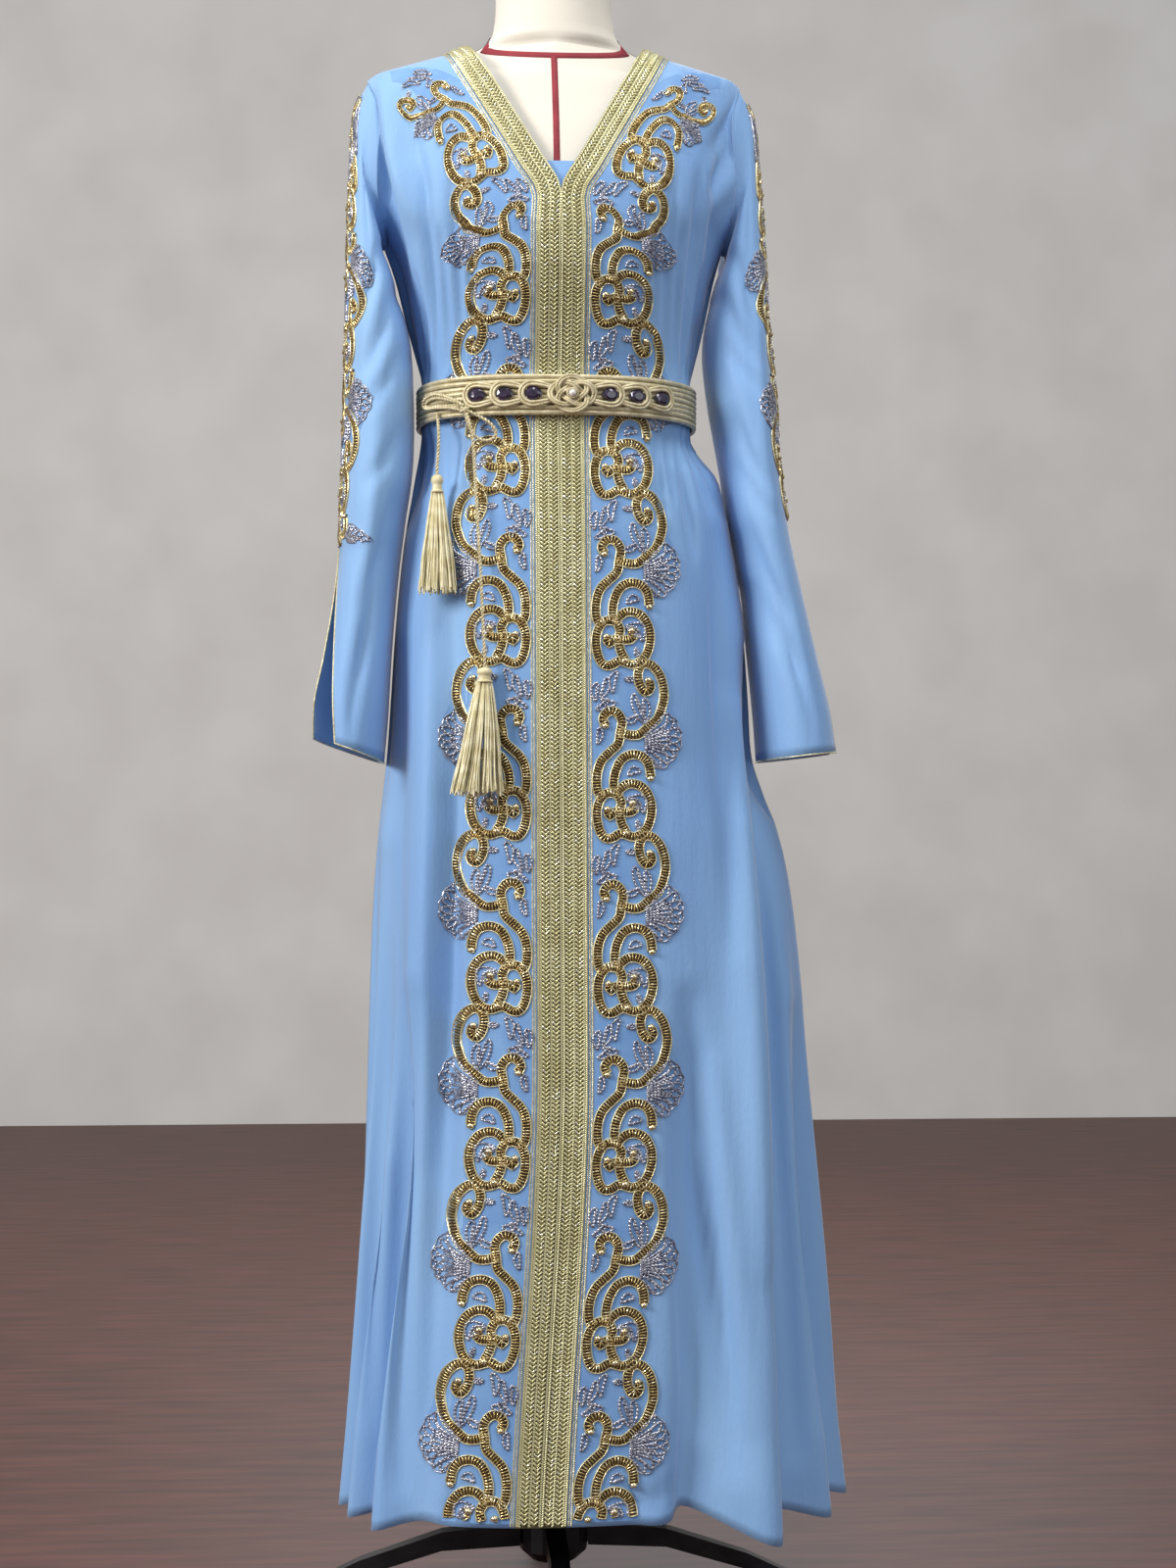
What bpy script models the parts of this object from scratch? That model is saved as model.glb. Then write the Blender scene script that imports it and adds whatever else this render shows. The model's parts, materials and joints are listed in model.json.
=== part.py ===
"""A long open-front abaya with a corded belt, standing on a limbless dress form.

Metres, +Z up. The origin is on the floor under the form's pole. The front faces -Y.
Run with: blender --background --python part.py
"""
import math

import bmesh
import bpy
import numpy as np
from mathutils import Vector
from mathutils.bvhtree import BVHTree

for old_object in list(bpy.data.objects):
    bpy.data.objects.remove(old_object, do_unlink=True)

# Driving dimensions
WALL = 0.0016
SEAM_GAP = 0.0003
LAY_GAP = 0.0005
BEAD_GAP = 0.0029
SLEEVE_BEAD_GAP = 0.0022
TRIM_WIDTH = 0.0235
TRIM_THICKNESS = 0.0014
HEM_HEIGHT = 0.118
NECKLINE_BOTTOM = 1.364
NECK_POINT_X = 0.0865
NECK_POINT_Z = 1.520
SHOULDER_TIP_X = 0.181
SHOULDER_TIP_Z = 1.4904
BACK_NECK_Z = 1.503
UNDERARM_Z = 1.330
BELT_Z = 1.172
BELT_HEIGHT = 0.039
BELT_THICKNESS = 0.0045
BELT_CORDS = 6
MOTIF_PITCH = 0.162
ROLL_WIDTH = 0.0085
ROLL_HEIGHT = 0.0020
CORD_DIAMETER = 0.0036
SECTION_POWER = 2.25
STAND_REACH = 0.279
POLE_RADIUS = 0.017
HUB_TOP = 0.105
HUB_RADIUS = 0.033
FORM_SIDES = 20
TURNED_SIDES = 16
BELT_SIDES = 26
BELT_SIDE_CLEARANCE = 0.0013
BELT_FRONT_CLEARANCE = 0.0060
BOW_DIAMETER = 0.0045
STONE_RADIUS = 0.0059
PEARL_RADIUS = 0.0036
LOOP_SIZE = (0.0256, 0.024)
KNOT_SIZE = (0.044, 0.032)
# Places along the belt's front, from its middle
LOOP_PLACES = (-0.080, -0.053, -0.026, 0.048, 0.075, 0.102)
KNOT_PLACE = 0.011
MOTIF_START = 0.074
SPINE_START = 0.014
# The repeat whose fan would lie under the belt
BELTED_REPEAT = 5
SLEEVE_MOTIF_PITCH = 0.140
SLEEVE_MOTIF_SCALE = 0.92
SLEEVE_MOTIFS = 3
SLEEVE_MOTIF_START = 0.022
# How far behind the outer line of the sleeve its strip starts; below zero it starts in front of it
SLEEVE_STRIP_BEHIND = -0.004

# Dress form, one row for each ring: height, half width, front depth, back depth
FORM_RINGS = (
    (0.800, 0.140, 0.082, 0.098),
    (0.812, 0.148, 0.090, 0.108),
    (0.870, 0.150, 0.096, 0.120),
    (0.950, 0.146, 0.098, 0.124),
    (1.040, 0.134, 0.095, 0.110),
    (1.110, 0.121, 0.088, 0.090),
    (1.172, 0.116, 0.086, 0.083),
    (1.230, 0.123, 0.098, 0.090),
    (1.290, 0.141, 0.114, 0.099),
    (1.340, 0.156, 0.116, 0.103),
    (1.390, 0.167, 0.107, 0.102),
    (1.435, 0.174, 0.093, 0.095),
    (1.465, 0.177, 0.079, 0.085),
    (1.484, 0.174, 0.070, 0.076),
)
# Rings on the form's straight shoulder line, just under the garment's: half width, front depth, back depth
SHOULDER_RINGS = (
    (0.168, 0.065, 0.070),
    (0.142, 0.061, 0.065),
    (0.112, 0.056, 0.056),
    (0.084, 0.052, 0.050),
)
# Neck rings: height, half width, front depth, back depth
NECK_RINGS = (
    (1.528, 0.068, 0.054, 0.056),
    (1.541, 0.060, 0.053, 0.054),
    (1.565, 0.057, 0.052, 0.052),
    (1.600, 0.0565, 0.052, 0.052),
)

# Garment below and at the armhole: height, left half width, right half width, front depth, back depth
GARMENT_SECTIONS = (
    (0.100, 0.200, 0.281, 0.192, 0.202),
    (0.200, 0.192, 0.270, 0.181, 0.192),
    (0.300, 0.187, 0.264, 0.172, 0.184),
    (0.500, 0.181, 0.249, 0.156, 0.168),
    (0.665, 0.176, 0.236, 0.143, 0.156),
    (0.757, 0.170, 0.221, 0.136, 0.150),
    (0.800, 0.165, 0.2045, 0.133, 0.147),
    (0.840, 0.1610, 0.1930, 0.130, 0.145),
    (0.885, 0.1580, 0.1905, 0.127, 0.143),
    (0.960, 0.1530, 0.1850, 0.121, 0.140),
    (1.040, 0.1450, 0.1730, 0.114, 0.126),
    (1.100, 0.1350, 0.1610, 0.106, 0.108),
    (1.150, 0.1275, 0.1325, 0.0985, 0.0960),
    (1.194, 0.1270, 0.1320, 0.0985, 0.0960),
    (1.230, 0.1355, 0.1400, 0.1060, 0.1010),
    (1.260, 0.1435, 0.1470, 0.1140, 0.1060),
    (1.300, 0.1535, 0.1555, 0.1230, 0.1100),
    (1.330, 0.1640, 0.1640, 0.1245, 0.1120),
    (1.347, 0.1725, 0.1725, 0.1230, 0.1115),
    (1.372, 0.1820, 0.1820, 0.1190, 0.1090),
    (1.405, 0.1890, 0.1890, 0.1095, 0.1055),
    (1.438, 0.1910, 0.1910, 0.0985, 0.0995),
    (1.464, 0.1900, 0.1900, 0.0885, 0.0920),
    (1.480, 0.1870, 0.1870, 0.0820, 0.0865),
    (1.4904, 0.1810, 0.1810, 0.0770, 0.0810),
)
# Front and back depth of the garment's sections above the shoulder tip
SHOULDER_DEPTHS = (
    (1.4904, 0.0770, 0.0810),
    (1.5050, 0.0690, 0.0730),
    (1.5200, 0.0620, 0.0650),
)
# Armhole rows: height, front depth, back depth, height of the front edge, rise of the centre back (0 to 1)
ARMHOLE_ROWS = (
    (1.3300, 0.000, 0.000, 1.330, 0.000),
    (1.3470, 0.033, 0.030, 1.364, 0.180),
    (1.3720, 0.047, 0.042, 1.395, 0.360),
    (1.4050, 0.053, 0.047, 1.428, 0.520),
    (1.4380, 0.052, 0.046, 1.460, 0.660),
    (1.4640, 0.043, 0.040, 1.487, 0.770),
    (1.4800, 0.030, 0.028, 1.505, 0.866),
    (1.4875, 0.016, 0.015, 1.515, 0.950),
    (1.4904, 0.000, 0.000, 1.520, 1.000),
)
LOWER_ROWS = (0.0, 0.20, 0.32, 0.44, 0.56, 0.68, 0.78, 0.86, 0.94,
              1.02, 1.08, 1.12, 1.150, 1.194, 1.23, 1.275, 1.330)
EDGE_COLUMNS = (0.0, TRIM_WIDTH, 0.052, 0.083, 0.118)

# Fold columns beside the applique: hem and waist fraction, hem and waist offset, top height, hem lift
LEFT_FOLDS = (
    (0.16, 0.14, 0.020, 0.0, 0.95, 0.004),
    (0.34, 0.29, -0.014, -0.0025, 0.80, 0.010),
    (0.50, 0.44, 0.010, 0.0, 0.90, 0.002),
    (0.64, 0.58, -0.011, -0.0030, 0.70, 0.008),
    (0.78, 0.72, 0.008, 0.0, 0.85, 0.000),
    (0.89, 0.87, -0.008, -0.0025, 0.75, 0.004),
)
RIGHT_FOLDS = (
    (0.07, 0.14, -0.014, -0.0025, 0.55, 0.022),
    (0.26, 0.30, 0.034, 0.0, 0.80, -0.014),
    (0.46, 0.44, -0.016, -0.0030, 0.95, 0.004),
    (0.62, 0.58, 0.012, 0.0, 0.75, -0.008),
    (0.76, 0.72, -0.012, -0.0025, 0.80, 0.006),
    (0.89, 0.87, 0.008, 0.0, 0.70, -0.002),
)
# Back folds from the centre back to the side seam, the same columns
BACK_FOLDS = (
    (0.00, 0.00, 0.014, 0.0, 0.90, -0.004),
    (0.13, 0.13, -0.012, -0.0030, 0.95, 0.004),
    (0.26, 0.26, 0.016, 0.0, 0.80, -0.006),
    (0.40, 0.39, -0.014, -0.0030, 0.90, 0.004),
    (0.53, 0.52, 0.014, 0.0, 0.75, -0.004),
    (0.66, 0.65, -0.012, -0.0030, 0.85, 0.003),
    (0.79, 0.78, 0.010, 0.0, 0.80, -0.002),
    (0.90, 0.90, -0.008, -0.0025, 0.70, 0.002),
    (1.00, 1.00, 0.000, 0.0000, 0.80, 0.000),
)
BACK_TOP_X = (0.0, 0.030, 0.055, 0.075, NECK_POINT_X, 0.110, 0.134, 0.158, SHOULDER_TIP_X)
BACK_TOP_Z = (BACK_NECK_Z, 1.5045, 1.508, 1.5135)

# Sleeves: outer x, outer z, inner x, inner z, centre y, half depth, front slit angle, back slit angle
RIGHT_SLEEVE = (
    (0.1925, 1.462, 0.1715, 1.326, 0.000, 0.050, 0, 0),
    (0.1970, 1.425, 0.1652, 1.312, 0.000, 0.056, 0, 0),
    (0.2010, 1.375, 0.1600, 1.296, 0.000, 0.062, 0, 0),
    (0.2040, 1.320, 0.1546, 1.275, 0.000, 0.067, 0, 0),
    (0.2085, 1.255, 0.1492, 1.238, 0.000, 0.070, 0, 0),
    (0.2145, 1.185, 0.1545, 1.182, -0.002, 0.072, 0, 0),
    (0.2180, 1.120, 0.1655, 1.120, -0.004, 0.073, 0, 0),
    (0.2265, 1.055, 0.1747, 1.055, -0.006, 0.074, 0, 0),
    (0.2390, 0.995, 0.1860, 0.995, -0.008, 0.077, 8, 6),
    (0.2540, 0.930, 0.1935, 0.930, -0.010, 0.080, 12, 8),
    (0.2670, 0.875, 0.1990, 0.872, -0.012, 0.083, 14, 10),
    (0.2725, 0.838, 0.2022, 0.830, -0.012, 0.085, 15, 10),
)
LEFT_SLEEVE = (
    (0.1920, 1.462, 0.1715, 1.326, 0.000, 0.050, 0, 0),
    (0.1955, 1.425, 0.1645, 1.312, 0.000, 0.056, 0, 0),
    (0.1980, 1.375, 0.1582, 1.296, 0.000, 0.062, 0, 0),
    (0.1995, 1.320, 0.1516, 1.275, 0.000, 0.067, 0, 0),
    (0.2010, 1.255, 0.1420, 1.238, 0.000, 0.070, 0, 0),
    (0.2025, 1.185, 0.1385, 1.182, -0.002, 0.072, 0, 0),
    (0.2045, 1.120, 0.1390, 1.120, -0.004, 0.073, 0, 0),
    (0.2065, 1.055, 0.1474, 1.055, -0.006, 0.074, 0, 0),
    (0.2120, 0.995, 0.1547, 0.995, -0.008, 0.077, 30, 2),
    (0.2230, 0.930, 0.1600, 0.930, -0.010, 0.080, 54, 2),
    (0.2320, 0.885, 0.1635, 0.870, -0.012, 0.083, 68, 2),
    (0.2330, 0.852, 0.1673, 0.828, -0.012, 0.085, 74, 3),
)

# The bow's route on the belt's face: along the belt from its middle, up, and out from the face
BOW_ROUTE = (
    (-0.1080, -0.0130, 0.0056),
    (-0.1180, -0.0060, 0.0046),
    (-0.1320, 0.0010, 0.0026),
    (-0.1460, 0.0040, 0.0024),
    (-0.1530, 0.0000, 0.0024),
    (-0.1460, -0.0050, 0.0024),
    (-0.1320, -0.0075, 0.0024),
    (-0.1190, -0.0150, 0.0032),
)
# The free ends: the start on the belt's face, then x, y, z down to each tassel
SHORT_START = (-0.1335, -0.0119, 0.0024)
SHORT_ROUTE = (
    (-0.1190, -0.0800, 1.1400),
    (-0.1195, -0.0840, 1.1200),
    (-0.1200, -0.0865, 1.1080),
    (-0.1200, -0.0865, 1.1010),
)
LONG_START = (-0.1077, -0.0135, 0.0059)
LONG_ROUTE = (
    (-0.0935, -0.0980, 1.1380),
    (-0.0905, -0.1010, 1.1250),
    (-0.0870, -0.1085, 1.0800),
    (-0.0830, -0.1160, 1.0300),
    (-0.0790, -0.1230, 0.9700),
    (-0.0755, -0.1290, 0.9240),
    (-0.0755, -0.1290, 0.9145),
)
# Tassels: head radius, head height, spread, strand length, strands, lean to the left, lean forward
SHORT_TASSEL = (0.0060, 0.016, 0.018, 0.100, 12, 0.003, 0.0270)
LONG_TASSEL = (0.0075, 0.013, 0.026, 0.108, 16, 0.006, 0.0190)

collection = bpy.data.collections.new("abaya_on_dress_form")
bpy.context.scene.collection.children.link(collection)


def material(name, colour, roughness, metallic=0.0):
    """A Principled BSDF with one colour."""
    made = bpy.data.materials.new(name)
    made.use_nodes = True
    shader = made.node_tree.nodes["Principled BSDF"]
    shader.inputs["Base Color"].default_value = (*colour, 1.0)
    shader.inputs["Roughness"].default_value = roughness
    shader.inputs["Metallic"].default_value = metallic
    return made


BLUE_CLOTH = material("blue_cloth", (0.24, 0.45, 0.79), 0.55)
FORM_CLOTH = material("form_cloth", (0.78, 0.74, 0.64), 0.85)
GOLD_BRAID = material("gold_braid", (0.50, 0.44, 0.20), 0.45, 0.5)
GOLD_BEADS = material("gold_beads", (0.45, 0.31, 0.10), 0.35, 0.7)
BELT_CORD = material("belt_cord", (0.58, 0.50, 0.30), 0.5, 0.3)
TASSEL_SILK = material("tassel_silk", (0.76, 0.68, 0.42), 0.5)
JEWEL = material("jewel", (0.30, 0.24, 0.36), 0.1)
PEARL = material("pearl", (0.80, 0.76, 0.68), 0.2)
BLACK_IRON = material("black_iron", (0.02, 0.02, 0.022), 0.4, 0.6)


def link(name, mesh, look):
    """Put a mesh in the model as one named piece."""
    piece = bpy.data.objects.new(name, mesh)
    piece.data.materials.append(look)
    collection.objects.link(piece)
    return piece


def mesh_from_bmesh(name, work):
    """Turn a bmesh into a mesh with its faces pointing out."""
    bmesh.ops.recalc_face_normals(work, faces=work.faces)
    mesh = bpy.data.meshes.new(name)
    work.to_mesh(mesh)
    work.free()
    return mesh


def evaluated_mesh(piece):
    """A new mesh of the piece with its modifiers."""
    depsgraph = bpy.context.evaluated_depsgraph_get()
    return bpy.data.meshes.new_from_object(piece.evaluated_get(depsgraph))


def thicken(piece, thickness=WALL):
    """Solidify outward from the sheet that the points give."""
    shell = piece.modifiers.new("wall", "SOLIDIFY")
    shell.thickness = thickness
    shell.offset = 1.0
    shell.use_even_offset = True
    return piece


def grid_sheet(name, rows, look, flip=False):
    """An open sheet through rows of points, with its face normals turned outward."""
    work = bmesh.new()
    known = {}

    def vertex(point):
        key = tuple(round(value, 6) for value in point)
        if key not in known:
            known[key] = work.verts.new(point)
        return known[key]

    grid = [[vertex(point) for point in row] for row in rows]
    for low, high in zip(grid, grid[1:]):
        for index in range(len(low) - 1):
            corners = [low[index], low[index + 1], high[index + 1], high[index]]
            distinct = list(dict.fromkeys(corners))
            if len(distinct) > 2:
                work.faces.new(distinct[::-1] if flip else distinct)
    mesh = bpy.data.meshes.new(name)
    work.to_mesh(mesh)
    work.free()
    return link(name, mesh, look)


def loft(name, rings, look):
    """A closed solid through rings of points, with flat ends."""
    work = bmesh.new()
    circles = [[work.verts.new(point) for point in ring] for ring in rings]
    count = len(circles[0])
    for low, high in zip(circles, circles[1:]):
        for index in range(count):
            follow = (index + 1) % count
            work.faces.new((low[index], low[follow], high[follow], high[index]))
    work.faces.new(circles[0][::-1])
    work.faces.new(circles[-1])
    return link(name, mesh_from_bmesh(name, work), look)


def smoothstep(low, high, value):
    """Zero below low, one above high, and a smooth rise between."""
    share = min(max((value - low) / (high - low), 0.0), 1.0)
    return share * share * (3.0 - 2.0 * share)


def table_value(table, column, height):
    """A smooth curve through one column of a table whose first column is the height."""
    heights = [row[0] for row in table]
    values = [row[column] for row in table]
    slopes = [(values[i + 1] - values[i]) / (heights[i + 1] - heights[i]) for i in range(len(table) - 1)]
    tangents = [slopes[0]]
    for before, after in zip(slopes, slopes[1:]):
        steady = before * after > 0
        tangents.append(2.0 * before * after / (before + after) if steady else 0.0)
    tangents.append(slopes[-1])
    height = min(max(height, heights[0]), heights[-1])
    place = max(i for i in range(len(heights) - 1) if heights[i] <= height)
    span = heights[place + 1] - heights[place]
    t = (height - heights[place]) / span
    rise = (1.0 + 2.0 * t) * (1.0 - t) ** 2 * values[place] + t * t * (3.0 - 2.0 * t) * values[place + 1]
    bend = t * (1.0 - t) ** 2 * tangents[place] - t * t * (1.0 - t) * tangents[place + 1]
    return rise + span * bend


def half_width(height, side):
    """Half width of the garment's section on the left (-1) or the right (1)."""
    if height > SHOULDER_TIP_Z:
        fall = (NECK_POINT_Z - height) / (NECK_POINT_Z - SHOULDER_TIP_Z)
        return NECK_POINT_X + fall * (SHOULDER_TIP_X - NECK_POINT_X)
    return table_value(GARMENT_SECTIONS, 1 if side < 0 else 2, height)


def section_depth(height, face):
    """Depth of the garment's section at the front (-1) or the back (1)."""
    if height > SHOULDER_TIP_Z:
        return table_value(SHOULDER_DEPTHS, 1 if face < 0 else 2, height)
    return table_value(GARMENT_SECTIONS, 3 if face < 0 else 4, height)


def depth_at(x, height, face):
    """Depth of the garment's inner surface at x on one face of the section."""
    width = half_width(height, 1 if x >= 0 else -1)
    share = min(abs(x) / width, 1.0)
    return section_depth(height, face) * (1.0 - share ** SECTION_POWER) ** (1.0 / SECTION_POWER)


def front_drift(height):
    """The closed front edge swings to the left near the hem."""
    return -0.026 * (1.0 - smoothstep(0.0, 0.56, height))


def fold_offset(fold, height):
    """How far a fold column stands out of the plain section."""
    hem_offset, waist_offset, top_height = fold[2], fold[3], fold[4]
    hang = 1.0 - smoothstep(HEM_HEIGHT, top_height, height)
    gather = 1.0 - smoothstep(0.02, 0.11, abs(height - BELT_Z))
    return hem_offset * hang + waist_offset * gather


def section_point(angle, height, side, face, offset=0.0):
    """A point of the section at an angle from the centre line, in degrees."""
    turn = math.radians(angle)
    power = 2.0 / SECTION_POWER
    x = half_width(height, side) * abs(math.sin(turn)) ** power
    y = section_depth(height, face) * abs(math.cos(turn)) ** power
    length = math.hypot(x, y)
    x += offset * x / length
    y = max(y + offset * y / length, SEAM_GAP / 2)
    return side * x, face * y


def hem_height(row_height, lift):
    """The lowest rows follow the hem's waves."""
    if row_height == 0.0:
        return HEM_HEIGHT + lift
    return row_height + lift * (1.0 - smoothstep(HEM_HEIGHT, 0.45, row_height))


def armhole_point(row, side, face):
    """A point of the armhole's edge, set back from the side by the depth in the table."""
    height, front, back = row[0], row[1], row[2]
    depth = front if face < 0 else back
    full = section_depth(height, face)
    x = half_width(height, side) * (1.0 - (depth / full) ** SECTION_POWER) ** (1.0 / SECTION_POWER)
    return side * x, face * max(depth, SEAM_GAP / 2), height


def lower_front_row(row_height, side, folds):
    """One row of a front panel between the hem and the underarm."""
    points = []
    probe = max(row_height, HEM_HEIGHT)
    width = half_width(probe, side)
    edge_lift = 0.012
    for distance in EDGE_COLUMNS:
        height = hem_height(row_height, edge_lift)
        x = max(distance, SEAM_GAP / 2)
        y = -depth_at(side * x, max(height, 0.101), -1)
        points.append((side * x + front_drift(height), y, height))
    first_angle = math.degrees(math.asin((EDGE_COLUMNS[-1] / width) ** (SECTION_POWER / 2)))
    for fold in folds:
        share = fold[0] + (fold[1] - fold[0]) * smoothstep(HEM_HEIGHT, 1.1, probe)
        angle = first_angle + share * (90.0 - first_angle)
        height = hem_height(row_height, fold[5])
        x, y = section_point(angle, max(height, 0.101), side, -1, fold_offset(fold, probe))
        points.append((x + front_drift(height) * (1.0 - share), y, height))
    height = hem_height(row_height, 0.0)
    x, y = section_point(90.0, height, side, -1)
    points.append((x, y, height))
    return points


def neckline_point(height, side):
    """A point of the front edge: the centre line, then the sloping neckline."""
    rise = max(height - NECKLINE_BOTTOM, 0.0) / (NECK_POINT_Z - NECKLINE_BOTTOM)
    return side * max(NECK_POINT_X * rise, SEAM_GAP / 2), height


NECK_SLOPE = math.atan2(NECK_POINT_X, NECK_POINT_Z - NECKLINE_BOTTOM)
RIDGE_SLOPE = math.atan2(NECK_POINT_Z - SHOULDER_TIP_Z, SHOULDER_TIP_X - NECK_POINT_X)


def upper_front_rows(side):
    """Rows of a front panel from the underarm to the shoulder seam."""
    start = lower_front_row(UNDERARM_Z, side, LEFT_FOLDS if side < 0 else RIGHT_FOLDS)
    count = len(start)
    trim_edge, side_seam = abs(start[1][0]), abs(start[-1][0])
    low_share = [(abs(point[0]) - trim_edge) / (side_seam - trim_edge) for point in start]
    rows = []
    last = len(ARMHOLE_ROWS) - 1
    for number, row in enumerate(ARMHOLE_ROWS[1:], start=1):
        edge_x, edge_z = neckline_point(row[3], side)
        lean = {1: NECK_SLOPE / 2, last: RIDGE_SLOPE}.get(number, NECK_SLOPE)
        reach = TRIM_WIDTH / math.cos(NECK_SLOPE / 2) if number == 1 else TRIM_WIDTH
        trim_x = edge_x + side * reach * math.cos(lean)
        trim_z = edge_z - reach * math.sin(lean)
        arm_x, arm_y, arm_z = armhole_point(row, side, -1)
        share = number / last
        points = []
        for column in range(count):
            if column == 0:
                x, z = edge_x, edge_z
            elif column == count - 1:
                points.append((arm_x, arm_y, arm_z))
                continue
            else:
                even = (column - 1) / (count - 2)
                along = low_share[column] * (1.0 - share) + even * share
                x = trim_x + (arm_x - trim_x) * along
                z = trim_z + (arm_z - trim_z) * along
            depth = 0.0 if number == last else depth_at(x, z, -1)
            points.append((x, -max(depth, SEAM_GAP / 2), z))
        rows.append(points)
    return rows


def front_panel(name, side, folds):
    """A front panel from its hem to the shoulder seam."""
    rows = [lower_front_row(height, side, folds) for height in LOWER_ROWS]
    rows += upper_front_rows(side)
    piece = grid_sheet(name, rows, BLUE_CLOTH, flip=side < 0)
    return thicken(piece), rows


def back_half_row(row_height, side):
    """Half a row of the back panel, from the centre back to the side seam."""
    points = []
    probe = max(row_height, HEM_HEIGHT)
    for fold in BACK_FOLDS:
        share = fold[0] + (fold[1] - fold[0]) * smoothstep(HEM_HEIGHT, 1.1, probe)
        height = hem_height(row_height, fold[5])
        x, y = section_point(90.0 * share, max(height, 0.101), side, 1, fold_offset(fold, probe))
        points.append((x, y, height))
    return points


def upper_back_rows(side):
    """Half rows of the back panel from the underarm to the neckline and the shoulder seam."""
    start = back_half_row(UNDERARM_Z, side)
    rows = []
    last = len(ARMHOLE_ROWS) - 1
    ridge_drop = (NECK_POINT_Z - SHOULDER_TIP_Z) / (SHOULDER_TIP_X - NECK_POINT_X)
    for number, row in enumerate(ARMHOLE_ROWS[1:], start=1):
        arm_x, arm_y, arm_z = armhole_point(row, side, 1)
        climb = row[4]
        arm_climb = (row[0] - UNDERARM_Z) / (SHOULDER_TIP_Z - UNDERARM_Z)
        points = []
        for column, top_x in enumerate(BACK_TOP_X):
            if column == len(BACK_TOP_X) - 1:
                points.append((arm_x, arm_y, arm_z))
                continue
            if column < len(BACK_TOP_Z):
                top_z = BACK_TOP_Z[column]
            else:
                top_z = NECK_POINT_Z - ridge_drop * (top_x - NECK_POINT_X)
            across = column / (len(BACK_TOP_X) - 1)
            rise = climb * (1.0 - across) + arm_climb * across
            start_x = abs(start[column][0])
            pull = (number / last) ** 1.5
            inner_arm = abs(arm_x) / abs(start[-1][0])
            x = start_x * inner_arm * (1.0 - pull) + top_x * pull
            z = UNDERARM_Z + (top_z - UNDERARM_Z) * rise
            on_ridge = number == last and column >= len(BACK_TOP_Z)
            depth = 0.0 if on_ridge else depth_at(side * x, z, 1)
            points.append((side * x, max(depth, SEAM_GAP / 2), z))
        rows.append(points)
    return rows


def back_panel():
    """The back panel, from side seam to side seam."""
    rows = []
    right = [back_half_row(height, 1) for height in LOWER_ROWS] + upper_back_rows(1)
    left = [back_half_row(height, -1) for height in LOWER_ROWS] + upper_back_rows(-1)
    for right_half, left_half in zip(right, left):
        centre_y = (right_half[0][1] + left_half[0][1]) / 2
        centre = (0.0, centre_y, right_half[0][2])
        rows.append(right_half[:0:-1] + [centre] + left_half[1:])
    return thicken(grid_sheet("back", rows, BLUE_CLOTH)), rows


def sleeve(name, side, table):
    """A hanging sleeve, from the armhole's edge to the cuff, open along its outer slit."""
    half = len(ARMHOLE_ROWS) - 1
    away = 2 * SEAM_GAP
    lifts = {0: WALL + 2 * SEAM_GAP, 1: WALL + 2 * SEAM_GAP, 2: WALL + SEAM_GAP, 3: 2 * SEAM_GAP}
    first = []
    for face, numbers in ((-1, range(half, -1, -1)), (1, range(1, half + 1))):
        for number in numbers:
            x, y, z = armhole_point(ARMHOLE_ROWS[number], side, face)
            first.append((x + side * (2 * away if number in (1, 2) else away), y, z + lifts.get(number, 0.0)))
    first[-1] = first[0] = (first[0][0], 0.0, first[0][2])
    first[half] = (first[half][0], 0.0, first[half][2])
    rows = [first]
    power = 2.0 / SECTION_POWER
    for outer_x, outer_z, inner_x, inner_z, centre_y, half_depth, front_slit, back_slit in table:
        ring = []
        for index in range(2 * half + 1):
            angle = front_slit + (360.0 - front_slit - back_slit) * index / (2 * half)
            turn = math.radians(angle)
            if index == 2 * half and back_slit == 0:
                turn = 0.0
            across = math.copysign(abs(math.cos(turn)) ** power, math.cos(turn))
            along = math.copysign(abs(math.sin(turn)) ** power, math.sin(turn))
            x = (outer_x + inner_x) / 2 + across * (outer_x - inner_x) / 2
            z = (outer_z + inner_z) / 2 + across * (outer_z - inner_z) / 2
            ring.append((side * x, centre_y - half_depth * along, z))
        rows.append(ring)
    piece = grid_sheet(name, rows, BLUE_CLOTH, flip=side > 0)
    return thicken(piece), rows


def surface_tree(piece):
    """A search tree on the piece's solid, for what lies on it."""
    mesh = evaluated_mesh(piece)
    work = bmesh.new()
    work.from_mesh(mesh)
    bmesh.ops.triangulate(work, faces=work.faces)
    tree = BVHTree.FromBMesh(work)
    work.free()
    bpy.data.meshes.remove(mesh)
    return tree


def solid_from_layers(name, outer, inner, look):
    """A closed strip between two grids of points that match."""
    work = bmesh.new()
    top = [[work.verts.new(point) for point in row] for row in outer]
    bottom = [[work.verts.new(point) for point in row] for row in inner]
    rows, columns = len(top), len(top[0])
    for i in range(rows - 1):
        for j in range(columns - 1):
            work.faces.new((top[i][j], top[i][j + 1], top[i + 1][j + 1], top[i + 1][j]))
            work.faces.new((bottom[i][j], bottom[i + 1][j], bottom[i + 1][j + 1], bottom[i][j + 1]))
    for i in range(rows - 1):
        work.faces.new((top[i][0], top[i + 1][0], bottom[i + 1][0], bottom[i][0]))
        work.faces.new((top[i + 1][-1], top[i][-1], bottom[i][-1], bottom[i + 1][-1]))
    for j in range(columns - 1):
        work.faces.new((top[0][j + 1], top[0][j], bottom[0][j], bottom[0][j + 1]))
        work.faces.new((top[-1][j], top[-1][j + 1], bottom[-1][j + 1], bottom[-1][j]))
    return link(name, mesh_from_bmesh(name, work), look)


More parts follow.
